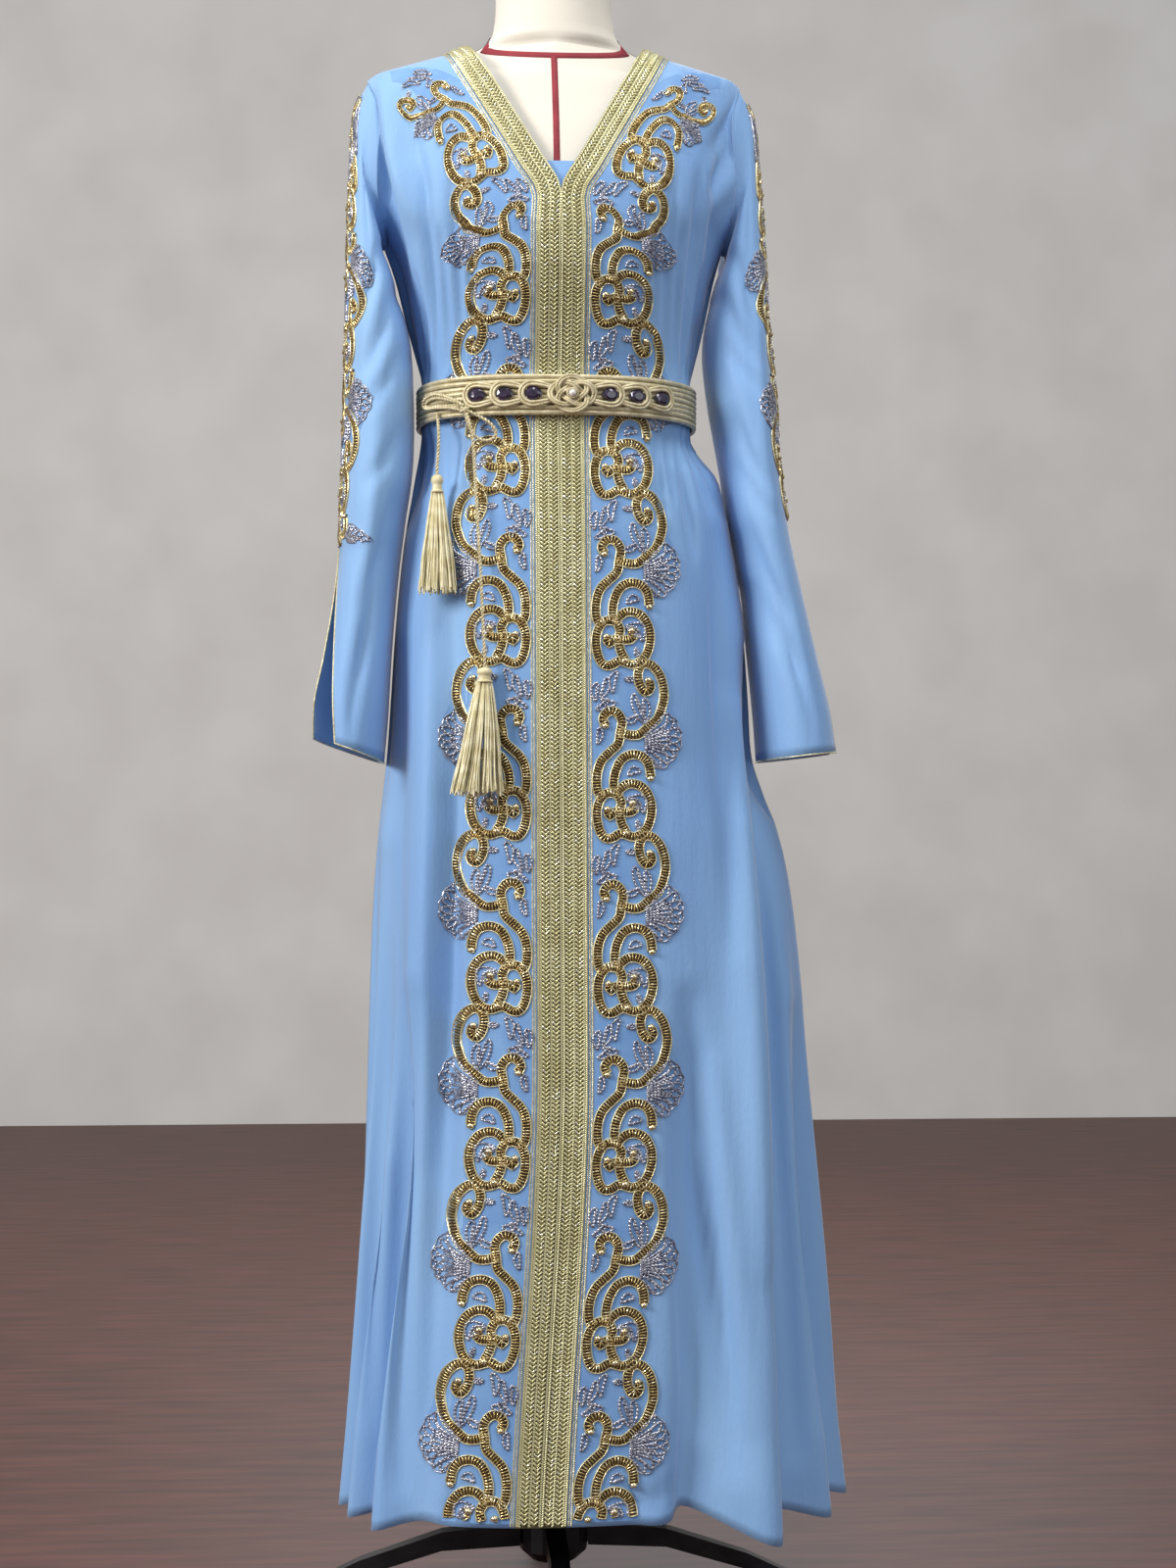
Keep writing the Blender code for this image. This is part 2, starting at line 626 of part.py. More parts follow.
def outer_rows(piece, rows):
    """The outer points of a panel's wall, as rows that match the rows of its sheet."""
    mesh = evaluated_mesh(piece)
    count = len(piece.data.vertices)
    order = {}
    for index, vertex in enumerate(piece.data.vertices):
        order[tuple(round(value, 6) for value in vertex.co)] = index
    found = []
    for row in rows:
        line = []
        for point in row:
            index = order[tuple(round(value, 6) for value in np.float32(point).tolist())]
            first = mesh.vertices[index].co.copy()
            second = mesh.vertices[index + count].co.copy()
            start = Vector(point)
            line.append(first if (first - start).length > (second - start).length else second)
        found.append(line)
    bpy.data.meshes.remove(mesh)
    return found


def front_trim(name, piece, rows):
    """Braid along a front edge, made from the panel's first two columns of points."""
    outside = outer_rows(piece, rows)
    lower, upper = [], []
    for sheet_row, wall_row in zip(rows, outside):
        base, top = [], []
        for column in (0, 1):
            start = Vector(sheet_row[column])
            normal = (wall_row[column] - start).normalized()
            if column == 0:
                normal.x = 0.0
                normal.normalize()
            point = wall_row[column].copy()
            base.append(point + normal * SEAM_GAP)
            top.append(point + normal * (SEAM_GAP + TRIM_THICKNESS))
        lower.append(base)
        upper.append(top)
    return solid_from_layers(name, upper, lower, GOLD_BRAID)


def oval_arc(centre_out, centre_down, half_out, half_down, start, end, steps):
    """Points along an oval, from one angle to another; 90 degrees is straight up."""
    points = []
    for step in range(steps + 1):
        turn = math.radians(start + (end - start) * step / steps)
        points.append((centre_out + half_out * math.cos(turn), centre_down - half_down * math.sin(turn)))
    return points


def scroll_strokes(scale, pitch, with_fan):
    """One repeat of the scroll, flat: strokes as (closed, points), outward and upward in metres."""
    small_lobe = (True, oval_arc(0.015, 0.068, 0.0110, 0.021, 90, 378, 4))
    big_lobe = (True, oval_arc(0.039, 0.062, 0.0160, 0.024, 60, 348, 5))
    arch = (False, [(0.024, 0.045)] + oval_arc(0.036, 0.022, 0.0170, 0.017, 180, 0, 2) + [(0.052, 0.038)])
    curl = [(0.055, 0.106), (0.042, 0.098)]
    outer_scroll = (False, curl + oval_arc(0.044, 0.117, 0.0250, 0.033, 75, -95, 4) + [(0.025, 0.146)])
    stem = (False, [(0.011, 0.142), (0.024, 0.138), (0.018, 0.156), (0.004, 0.176)])
    fan = (True, [(0.050, -0.004), (0.068, -0.022), (0.079, -0.002), (0.070, 0.018)])
    drawn = [small_lobe, big_lobe, arch, outer_scroll, stem]
    if with_fan:
        drawn.append(fan)
    shrink = pitch / MOTIF_PITCH
    flat = []
    for closed, points in drawn:
        flat.append((closed, [(out * scale, (MOTIF_PITCH - down) * shrink) for out, down in points]))
    return flat


def hem_strokes():
    """What shows of the repeat that the hem cuts off: its arch, and the tops of the two lobes."""
    small_lobe = (False, [(0.004, 0.057), (0.014, 0.047), (0.026, 0.057)])
    big_lobe = (False, [(0.023, 0.057), (0.031, 0.041), (0.047, 0.041), (0.055, 0.057)])
    arch = (False, [(0.024, 0.045)] + oval_arc(0.036, 0.022, 0.0170, 0.017, 180, 0, 2) + [(0.052, 0.038)])
    return [small_lobe, big_lobe, arch]


def roll_profile():
    """The triangular cross-section of a bead roll."""
    outline = bpy.data.curves.new("roll_profile", "CURVE")
    outline.dimensions = "2D"
    spline = outline.splines.new("POLY")
    spline.points.add(2)
    corners = ((-ROLL_WIDTH / 2, 0.0), (ROLL_WIDTH / 2, 0.0), (0.0, ROLL_HEIGHT))
    for point, corner in zip(spline.points, corners):
        point.co = (corner[0], corner[1], 0.0, 1.0)
    spline.use_cyclic_u = True
    return bpy.data.objects.new("roll_profile", outline)


def flat_scrollwork(name, strokes, spine):
    """All strokes of a strip as one flat solid: out along X, along the strip on Y, height on Z."""
    profile = roll_profile()
    curve = bpy.data.curves.new(name + "_flat", "CURVE")
    curve.dimensions = "2D"
    curve.bevel_mode = "OBJECT"
    curve.bevel_object = profile
    curve.use_fill_caps = True
    for closed, points in [(False, spine)] + strokes:
        spline = curve.splines.new("POLY")
        spline.points.add(len(points) - 1)
        for target, (out, along) in zip(spline.points, points):
            target.co = (out, along, 0.0, 1.0)
        spline.use_cyclic_u = closed
    drawn = bpy.data.objects.new(name + "_flat", curve)
    bpy.context.scene.collection.objects.link(drawn)
    bpy.context.scene.collection.objects.link(profile)
    bpy.context.view_layer.update()
    mesh = evaluated_mesh(drawn)
    bpy.data.objects.remove(drawn)
    bpy.data.objects.remove(profile)
    return mesh


def join_overlaps(name, mesh, seed_place, look):
    """Fuse the overlapping closed strokes of one mesh into one body, from a seed inside it."""
    work = bmesh.new()
    work.from_mesh(mesh)
    bmesh.ops.remove_doubles(work, verts=work.verts, dist=1e-6)
    bmesh.ops.recalc_face_normals(work, faces=work.faces)
    work.to_mesh(mesh)
    work.free()
    strip = bpy.data.objects.new(name, mesh)
    bpy.context.scene.collection.objects.link(strip)
    seed_mesh = bpy.data.meshes.new(name + "_seed")
    work = bmesh.new()
    bmesh.ops.create_cube(work, size=0.001)
    bmesh.ops.translate(work, verts=work.verts, vec=(*seed_place, 0.0006))
    work.to_mesh(seed_mesh)
    work.free()
    seed = bpy.data.objects.new(name + "_seed", seed_mesh)
    bpy.context.scene.collection.objects.link(seed)
    union = strip.modifiers.new("union", "BOOLEAN")
    union.operation = "UNION"
    union.solver = "EXACT"
    union.use_self = True
    union.object = seed
    bpy.context.view_layer.update()
    fused = evaluated_mesh(strip)
    bpy.data.objects.remove(strip)
    bpy.data.objects.remove(seed)
    return link(name, fused, look)


def bend_onto(piece, place):
    """Move every flat point (out, along, height) to its place on the garment."""
    work = bmesh.new()
    work.from_mesh(piece.data)
    for vertex in work.verts:
        vertex.co = place(vertex.co.x, vertex.co.y, vertex.co.z)
    bmesh.ops.recalc_face_normals(work, faces=work.faces)
    if work.calc_volume(signed=True) < 0:
        bmesh.ops.reverse_faces(work, faces=work.faces)
    work.to_mesh(piece.data)
    work.free()
    return piece


def front_place(tree, side, hem_to_fold):
    """A function that puts a flat point of a strip on a front panel, beside its braid."""
    bend_start = NECKLINE_BOTTOM - HEM_HEIGHT - 0.13

    def surface(x, z):
        hit = tree.ray_cast(Vector((x, -0.6, z)), Vector((0.0, 1.0, 0.0)))[0]
        return hit

    def place(out, along, height):
        narrow = 1.0 - 0.22 * smoothstep(1.28, 1.40, along)
        reach = TRIM_WIDTH + 0.0055 + out * narrow
        edge_along = min(along, hem_to_fold)
        climb = max(along - hem_to_fold, 0.0)
        edge_x = climb * math.sin(NECK_SLOPE)
        edge_z = HEM_HEIGHT + edge_along + climb * math.cos(NECK_SLOPE)
        lean = NECK_SLOPE * smoothstep(bend_start, bend_start + 0.21, along)
        x = side * (edge_x + reach * math.cos(lean)) + front_drift(edge_z)
        z = edge_z - reach * math.sin(lean)
        step = 0.004
        here = surface(x, z)
        beside = surface(x + side * step, z)
        above = surface(x, z + step)
        if here is None:
            return Vector((x, -0.02, z))
        if beside is None or above is None:
            normal = Vector((0.0, -1.0, 0.0))
        else:
            normal = (beside - here).cross(above - here).normalized()
            if normal.y > 0:
                normal.negate()
        return here + normal * (BEAD_GAP + height)

    return place


def front_scrollwork(name, piece, side):
    """The bead scrolls beside the braid, from the hem to the shoulder."""
    hem_to_fold = NECKLINE_BOTTOM - HEM_HEIGHT
    edge_length = hem_to_fold + (NECK_POINT_X / math.sin(NECK_SLOPE))
    strokes = []
    repeats = int((edge_length - 0.02) / MOTIF_PITCH)
    for number in range(repeats):
        start = MOTIF_START + number * MOTIF_PITCH
        with_fan = number not in (BELTED_REPEAT, repeats - 1)
        for closed, points in scroll_strokes(1.0, MOTIF_PITCH, with_fan):
            strokes.append((closed, [(out, start + along) for out, along in points]))
    for closed, points in hem_strokes():
        strokes.append((closed, [(out, MOTIF_START - down) for out, down in points]))
    start = SPINE_START
    end = MOTIF_START + repeats * MOTIF_PITCH - 0.006
    spine = [(0.001, start)]
    spine += [(0.001, height - HEM_HEIGHT) for height in LOWER_ROWS[1:]]
    neckline = [(row[3] - NECKLINE_BOTTOM) / math.cos(NECK_SLOPE) for row in ARMHOLE_ROWS[1:]]
    spine += [(0.001, hem_to_fold + climb) for climb in neckline]
    spine = [point for point in spine if start <= point[1] < end - 0.004] + [(0.001, end)]
    flat = flat_scrollwork(name, strokes, spine)
    fused = join_overlaps(name, flat, spine[len(spine) // 2], GOLD_BEADS)
    return bend_onto(fused, front_place(surface_tree(piece), side, hem_to_fold))


def sleeve_scrollwork(name, piece, rows, side):
    """The bead scrolls down the outer side of a sleeve."""
    tree = surface_tree(piece)
    outer_line = [Vector(row[0]) for row in rows]
    lengths = [0.0]
    for before, after in zip(outer_line, outer_line[1:]):
        lengths.append(lengths[-1] + (after - before).length)

    def place(out, along, height):
        down = 0.012 + along
        spot = max(i for i in range(len(lengths) - 1) if lengths[i] <= down)
        share = (down - lengths[spot]) / (lengths[spot + 1] - lengths[spot])
        ring = [Vector(upper).lerp(Vector(lower), share) for upper, lower in zip(rows[spot], rows[spot + 1])]
        narrow = 0.55 + 0.45 * smoothstep(0.0, 0.16, along)
        reach = out * narrow - SLEEVE_STRIP_BEHIND * narrow
        if reach < 0.0:
            ring.reverse()
        left = abs(reach)
        spot = 0
        while left > (ring[spot + 1] - ring[spot]).length:
            left -= (ring[spot + 1] - ring[spot]).length
            spot += 1
        near = ring[spot].lerp(ring[spot + 1], left / (ring[spot + 1] - ring[spot]).length)
        hit, normal = tree.ray_cast(Vector((side * 0.5, near.y, near.z)), Vector((-side, 0.0, 0.0)))[:2]
        return hit + normal * (SLEEVE_BEAD_GAP + height)

    strokes = []
    for number in range(SLEEVE_MOTIFS):
        start = SLEEVE_MOTIF_START + number * SLEEVE_MOTIF_PITCH
        for closed, points in scroll_strokes(SLEEVE_MOTIF_SCALE, SLEEVE_MOTIF_PITCH, False):
            strokes.append((closed, [(out, start + along) for out, along in points]))
    start = SLEEVE_MOTIF_START + 0.004
    length = SLEEVE_MOTIFS * SLEEVE_MOTIF_PITCH - 0.004
    spine = [(0.001, start + length * step / 14) for step in range(15)]
    flat = flat_scrollwork(name, strokes, spine)
    fused = join_overlaps(name, flat, spine[len(spine) // 2], GOLD_BEADS)
    return bend_onto(fused, place)


def back_neck_trim(name, piece, rows):
    """Braid round the back neckline, made from the back panel's points beside it."""
    outside = outer_rows(piece, rows)
    middle = (len(rows[-1]) - 1) // 2
    reach = len(BACK_TOP_Z)
    lower, upper = [], []
    for sheet_row, wall_row in zip(rows[-3:], outside[-3:]):
        base, top = [], []
        for column in range(middle - reach, middle + reach + 1):
            point = wall_row[column]
            normal = (point - Vector(sheet_row[column])).normalized()
            if abs(column - middle) == reach:
                normal.y = abs(normal.y)
                normal.normalize()
            base.append(point + normal * SEAM_GAP)
            top.append(point + normal * (SEAM_GAP + TRIM_THICKNESS))
        lower.append(base)
        upper.append(top)
    return solid_from_layers(name, upper, lower, GOLD_BRAID)


def modesty_insert():
    """A small triangle of cloth behind the point of the neckline."""
    height, half, behind = 0.026, 0.019, 0.0009
    inside = 0.0013
    outer, inner = [], []
    for step in range(4):
        rise = step / 3
        z = NECKLINE_BOTTOM - 0.012 + (height + 0.012) * rise
        reach = 0.010 + (half - 0.010) * rise
        face, back = [], []
        for side in (-1.0, 0.0, 1.0):
            x = side * reach
            y = -depth_at(x, z, -1) + inside
            face.append((x, y, z))
            back.append((x, y + behind, z))
        outer.append(face)
        inner.append(back)
    return solid_from_layers("modesty_insert", outer, inner, BLUE_CLOTH)


def dress_form():
    """The padded form, its neck cap and its iron stand."""
    rings = []
    ridge_drop = (NECK_POINT_Z - SHOULDER_TIP_Z) / (SHOULDER_TIP_X - NECK_POINT_X)
    shoulder = []
    for width, front, back in SHOULDER_RINGS:
        height = NECK_POINT_Z - LAY_GAP - ridge_drop * (width - NECK_POINT_X)
        shoulder.append((height, width, front, back))
    for height, width, front, back in FORM_RINGS + tuple(shoulder) + NECK_RINGS:
        ring = []
        on_ridge = any(height == row[0] for row in shoulder)
        power = 1.4 if on_ridge else 1.0
        for index in range(FORM_SIDES):
            turn = 2.0 * math.pi * index / FORM_SIDES
            depth = front if math.sin(turn) < 0 else back
            x = math.copysign(width * abs(math.cos(turn)) ** power, math.cos(turn))
            y = math.copysign(depth * abs(math.sin(turn)) ** power, math.sin(turn))
            ring.append((x, y, height))
        rings.append(ring)
    torso = loft("form_torso", rings, FORM_CLOTH)
    torso.data.shade_smooth()

    top = NECK_RINGS[-1][0] + SEAM_GAP
    profile = ((0.0, 0.030), (0.012, 0.029), (0.016, 0.020), (0.030, 0.014),
               (0.049, 0.008), (0.051, 0.0), (0.0, 0.0))
    turned("form_neck_cap", [(radius, top + rise) for radius, rise in profile], TURNED_SIDES, BLACK_IRON)

    bottom = FORM_RINGS[0][0] - SEAM_GAP
    pole = ((0.0, bottom), (0.045, bottom), (0.045, bottom - 0.006), (POLE_RADIUS, bottom - 0.010),
            (POLE_RADIUS, HUB_TOP + SEAM_GAP), (0.0, HUB_TOP + SEAM_GAP))
    turned("stand_pole", pole, TURNED_SIDES, BLACK_IRON)
    hub = ((0.0, HUB_TOP), (0.026, HUB_TOP), (HUB_RADIUS, 0.095), (HUB_RADIUS, 0.060), (0.022, 0.050), (0.0, 0.050))
    turned("stand_hub", hub, TURNED_SIDES, BLACK_IRON)
    for number in range(4):
        stand_leg(number)


def turned(name, profile, steps, look):
    """A turned solid from a closed profile of (radius, height), top to bottom on the outer side."""
    mesh = bpy.data.meshes.new(name)
    mesh.from_pydata([(radius, 0.0, height) for radius, height in profile],
                     [(i, i + 1) for i in range(len(profile) - 1)], [])
    piece = link(name, mesh, look)
    screw = piece.modifiers.new("turn", "SCREW")
    screw.steps = steps
    screw.render_steps = steps
    screw.use_merge_vertices = True
    screw.merge_threshold = 0.0001
    screw.use_smooth_shade = True
    return piece


def stand_leg(number):
    """One splayed iron leg with a flat foot, out from the hub."""
    stations = ((HUB_RADIUS + SEAM_GAP, 0.086, 0.064, 0.020), (0.110, 0.078, 0.060, 0.018), (0.190, 0.052, 0.036, 0.016),
                (0.245, 0.026, 0.006, 0.016), (0.262, 0.016, 0.0, 0.022), (STAND_REACH, 0.012, 0.0, 0.020))
    turn = math.pi / 2 * number
    rings = []
    for reach, top, bottom, width in stations:
        ring = []
        half = width / 2
        for across, height in ((-half, bottom), (half, bottom), (half, top), (-half, top)):
            x = reach * math.cos(turn) - across * math.sin(turn)
            y = reach * math.sin(turn) + across * math.cos(turn)
            ring.append((x, y, height))
        rings.append(ring)
    return loft("stand_leg_%d" % (number + 1), rings, BLACK_IRON)


def belt_inner(turn):
    """Inner point of the belt at an angle round the waist, clear of the braid and the beads."""
    x = math.cos(turn)
    y = math.sin(turn)
    side = 1 if x >= 0 else -1
    front = smoothstep(0.05, 0.75, -y)
    clear = WALL + BELT_SIDE_CLEARANCE + (BELT_FRONT_CLEARANCE - BELT_SIDE_CLEARANCE) * front
    power = 2.0 / SECTION_POWER
    face = -1 if y < 0 else 1
    width = half_width(BELT_Z, side) + clear
    depth = section_depth(BELT_Z, face) + clear
    return Vector((width * side * abs(x) ** power, depth * face * abs(y) ** power, 0.0))


def belt_frame(turn):
    """Inner point and outward direction of the belt at an angle."""
    here = belt_inner(turn)
    step = belt_inner(turn + 0.01) - belt_inner(turn - 0.01)
    outward = Vector((step.y, -step.x, 0.0)).normalized()
    return here, outward


def belt():
    """The band of parallel cords round the waist."""
    cord = BELT_HEIGHT / BELT_CORDS
    profile = [(0.0, -BELT_HEIGHT / 2), (0.0, BELT_HEIGHT / 2)]
    for number in range(BELT_CORDS):
        top = BELT_HEIGHT / 2 - number * cord
        profile.append((BELT_THICKNESS * 0.6, top))
        profile.append((BELT_THICKNESS, top - cord / 2))
    profile.append((BELT_THICKNESS * 0.6, -BELT_HEIGHT / 2))
    work = bmesh.new()
    rings = []
    for index in range(BELT_SIDES):
        here, outward = belt_frame(2.0 * math.pi * index / BELT_SIDES)
        ring = [work.verts.new(here + outward * out + Vector((0.0, 0.0, BELT_Z + up))) for out, up in profile]
        rings.append(ring)
    for index, ring in enumerate(rings):
        follow = rings[(index + 1) % BELT_SIDES]
        for place in range(len(profile)):
            following = (place + 1) % len(profile)
            work.faces.new((ring[place], ring[following], follow[following], follow[place]))
    return link("belt", mesh_from_bmesh("belt", work), BELT_CORD)


def belt_face(across, up, height):
    """A point on the belt's front face: metres along the belt from its middle, up, and out."""
    turn = -math.pi / 2
    direction = 1 if across > 0 else -1
    length = 0.0
    here = belt_frame(turn)[0]
    step = 0.01
    stride = 1.0
    while length < abs(across):
        turn += direction * step
        following = belt_frame(turn)[0]
        stride = (following - here).length
        length += stride
        here = following
    turn -= direction * step * max(length - abs(across), 0.0) / stride
    here, outward = belt_frame(turn)
    sag = 0.0002
    return here + outward * (BELT_THICKNESS + sag + height) + Vector((0.0, 0.0, BELT_Z + up))


def bent_ring(name, centre, size, width, thickness, sides, look):
    """A flat oval ring laid on the belt's face."""
    outer, inner = [], []
    half_across, half_up = size[0] / 2, size[1] / 2
    for index in range(sides):
        turn = 2.0 * math.pi * index / sides
        across, up = math.cos(turn), math.sin(turn)
        outer.append((centre + half_across * across, half_up * up))
        inner.append((centre + (half_across - width) * across, (half_up - width) * up))
    work = bmesh.new()
    layers = []
    for outline in (outer, inner):
        for height in (0.0, thickness):
            layers.append([work.verts.new(belt_face(across, up, height)) for across, up in outline])
    outer_low, outer_high, inner_low, inner_high = layers
    for index in range(sides):
        follow = (index + 1) % sides
        work.faces.new((outer_low[index], outer_low[follow], outer_high[follow], outer_high[index]))
        work.faces.new((inner_low[follow], inner_low[index], inner_high[index], inner_high[follow]))
        work.faces.new((outer_high[index], outer_high[follow], inner_high[follow], inner_high[index]))
        work.faces.new((outer_low[follow], outer_low[index], inner_low[index], inner_low[follow]))
    return link(name, mesh_from_bmesh(name, work), look)


def belt_ornaments():
    """Loops with drop stones, and the knot with its pearl, on the belt's face."""
    for number, centre in enumerate(LOOP_PLACES, start=1):
        bent_ring("belt_loop_%d" % number, centre, LOOP_SIZE, 0.0050, 0.0030, 8, BELT_CORD)
        stone("belt_stone_%d" % number, centre)
    bent_ring("belt_knot", KNOT_PLACE, KNOT_SIZE, 0.0120, 0.0050, 12, BELT_CORD)
    work = bmesh.new()
    bmesh.ops.create_uvsphere(work, u_segments=8, v_segments=6, radius=PEARL_RADIUS)
    middle = belt_face(KNOT_PLACE, 0.0, PEARL_RADIUS + 0.0002)
    bmesh.ops.translate(work, verts=work.verts, vec=middle)
    link("belt_pearl", mesh_from_bmesh("belt_pearl", work), PEARL)


def stone(name, centre):
    """A faceted drop stone inside its loop."""
    work = bmesh.new()
    sides = 8
    low, middle, top = [], [], []
    for index in range(sides):
        turn = 2.0 * math.pi * index / sides
        stretch = 1.2 if math.cos(turn) > 0.9 else 1.0
        across = STONE_RADIUS * stretch * math.cos(turn)
        up = 0.85 * STONE_RADIUS * math.sin(turn)
        low.append(work.verts.new(belt_face(centre + across, up, 0.0002)))
        middle.append(work.verts.new(belt_face(centre + across, up, 0.0018)))
        top.append(work.verts.new(belt_face(centre + across * 0.55, up * 0.55, 0.0040)))
    for below, above in ((low, middle), (middle, top)):
        for index in range(sides):
            follow = (index + 1) % sides
            work.faces.new((below[index], below[follow], above[follow], above[index]))
    work.faces.new(low[::-1])
    work.faces.new(top)
    return link(name, mesh_from_bmesh(name, work), JEWEL)


def smooth_route(route, spacing):
    """Even points along a smooth curve through the route's own points."""
    points = [Vector(point) for point in route]
    padded = [points[0] * 2 - points[1]] + points + [points[-1] * 2 - points[-2]]
    dense = []
    for index in range(1, len(padded) - 2):
        before, here, after, beyond = padded[index - 1:index + 3]
        for step in range(24):
            t = step / 24
            dense.append(0.5 * (2 * here + (after - before) * t
                                + (2 * before - 5 * here + 4 * after - beyond) * t * t
                                + (3 * here - before - 3 * after + beyond) * t ** 3))
    dense.append(points[-1])
    lengths = [0.0]
    for before, after in zip(dense, dense[1:]):
        lengths.append(lengths[-1] + (after - before).length)
    count = max(int(round(lengths[-1] / spacing)), 2)
    even = []
    for step in range(count + 1):
        goal = lengths[-1] * step / count
        spot = max(i for i in range(len(lengths) - 1) if lengths[i] <= goal + 1e-12)
        share = (goal - lengths[spot]) / (lengths[spot + 1] - lengths[spot])
        even.append(dense[spot].lerp(dense[spot + 1], min(share, 1.0)))
    return even


def tube(name, route, diameter, spacing, look, closed=False):
    """A round cord along a smooth route."""
    points = smooth_route(route, spacing)
    curve = bpy.data.curves.new(name, "CURVE")
    curve.dimensions = "3D"
    curve.bevel_depth = diameter / 2
    curve.bevel_resolution = 2
    curve.use_fill_caps = True
    spline = curve.splines.new("POLY")
    spline.points.add(len(points) - 1)
    for target, point in zip(spline.points, points):
        target.co = (*point, 1.0)
    spline.use_cyclic_u = closed
    piece = bpy.data.objects.new(name, curve)
    curve.materials.append(look)
    collection.objects.link(piece)
    return piece


def tassel(name, top, sizes):
    """A tassel: a bound head, and strands that grow out of its underside."""
    radius, head_height, spread, length, strands, lean, forward = sizes
    work = bmesh.new()
    profile = ((0.0022, 0.0), (0.75, -0.15), (1.0, -0.45), (0.8, -0.62), (0.95, -0.8), (1.05, -1.0))
    rings = []
    for share, fall in profile:
        reach = share if share < 0.01 else share * radius
        ring = []
        for index in range(strands):
            turn = 2.0 * math.pi * index / strands
            ring.append(work.verts.new((reach * math.cos(turn), reach * math.sin(turn), fall * head_height)))
        rings.append(ring)
    work.faces.new(rings[0][::-1])
    for high, low in zip(rings, rings[1:]):
        for index in range(strands):
            follow = (index + 1) % strands
            work.faces.new((high[index], high[follow], low[follow], low[index]))
    middle = work.verts.new((0.0, 0.0, -head_height))
    wedges = []
    for index in range(strands):
        follow = (index + 1) % strands
        wedges.append(work.faces.new((rings[-1][index], rings[-1][follow], middle)))
    bmesh.ops.recalc_face_normals(work, faces=work.faces)
    bmesh.ops.inset_individual(work, faces=wedges, thickness=radius * 0.05)
    for number, wedge in enumerate(wedges):
        outward = wedge.calc_center_median()
        direction = Vector((outward.x, outward.y, 0.0)).normalized()
        face = wedge
        reach_end = spread * (0.98 if number % 2 else 0.62)
        for share in (0.45, 1.0):
            made = bmesh.ops.extrude_discrete_faces(work, faces=[face])["faces"]
            face = made[0]
            fall = length * (1.0 + 0.03 * (number % 3 - 1)) * share
            reach = radius * 0.7 + (reach_end - radius * 0.7) * share ** 0.8
            flat = Vector((direction.x, 0.45 * direction.y, 0.0))
            goal = flat * reach + Vector((-lean * share, -forward * share, -head_height - fall))
            shift = goal - face.calc_center_median()
            bmesh.ops.translate(work, verts=face.verts, vec=shift)
            wider = 1.35 if share < 1.0 else 0.9
            centre = face.calc_center_median()
            for vertex in face.verts:
                vertex.co = centre + (vertex.co - centre) * wider
    bmesh.ops.translate(work, verts=work.verts, vec=top)
    return link(name, mesh_from_bmesh(name, work), TASSEL_SILK)


def belt_tie():
    """The bow on the belt, the two free ends and their tassels."""
    bow = [belt_face(*place) for place in BOW_ROUTE]
    tube("belt_bow", bow, BOW_DIAMETER, 0.011, BELT_CORD)
    short = [belt_face(*SHORT_START)] + list(SHORT_ROUTE)
    tube("cord_short", short, CORD_DIAMETER, 0.009, BELT_CORD)
    long = [belt_face(*LONG_START)] + list(LONG_ROUTE)
    tube("cord_long", long, CORD_DIAMETER, 0.020, BELT_CORD)
    tassel("tassel_short", Vector(SHORT_ROUTE[-1]) - Vector((0.0, 0.0, 0.0003)), SHORT_TASSEL)
    tassel("tassel_long", Vector(LONG_ROUTE[-1]) - Vector((0.0, 0.0, 0.0003)), LONG_TASSEL)


def build():
    """Make every piece of the model."""
    dress_form()
    left, left_rows = front_panel("front_left", -1, LEFT_FOLDS)
    right, right_rows = front_panel("front_right", 1, RIGHT_FOLDS)
    back, back_rows = back_panel()
    left_sleeve, left_sleeve_rows = sleeve("sleeve_left", -1, LEFT_SLEEVE)
    right_sleeve, right_sleeve_rows = sleeve("sleeve_right", 1, RIGHT_SLEEVE)
    modesty_insert()
    front_trim("trim_left", left, left_rows)
    front_trim("trim_right", right, right_rows)
    back_neck_trim("trim_back_neck", back, back_rows)
    front_scrollwork("scrollwork_front_left", left, -1)
    front_scrollwork("scrollwork_front_right", right, 1)
    sleeve_scrollwork("scrollwork_sleeve_left", left_sleeve, left_sleeve_rows, -1)
    sleeve_scrollwork("scrollwork_sleeve_right", right_sleeve, right_sleeve_rows, 1)
    belt()
    belt_ornaments()
    belt_tie()


build()
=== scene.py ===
"""The look of the abaya on its dress form: cloth, beadwork, braid, belt, tassels, form and stand.

Metres, +Z up, the front faces -Y. Rows of whole numbers are in millimetres or tenths of one, as their comment
or the function that reads them says. On a front, "along" is measured up the front edge from the hem, and
"out" across the panel from a line 5.5 mm beyond the braid. "height" is out from the cloth.
"""
import json
import math

import bpy
import numpy as np
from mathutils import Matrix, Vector
from mathutils.bvhtree import BVHTree

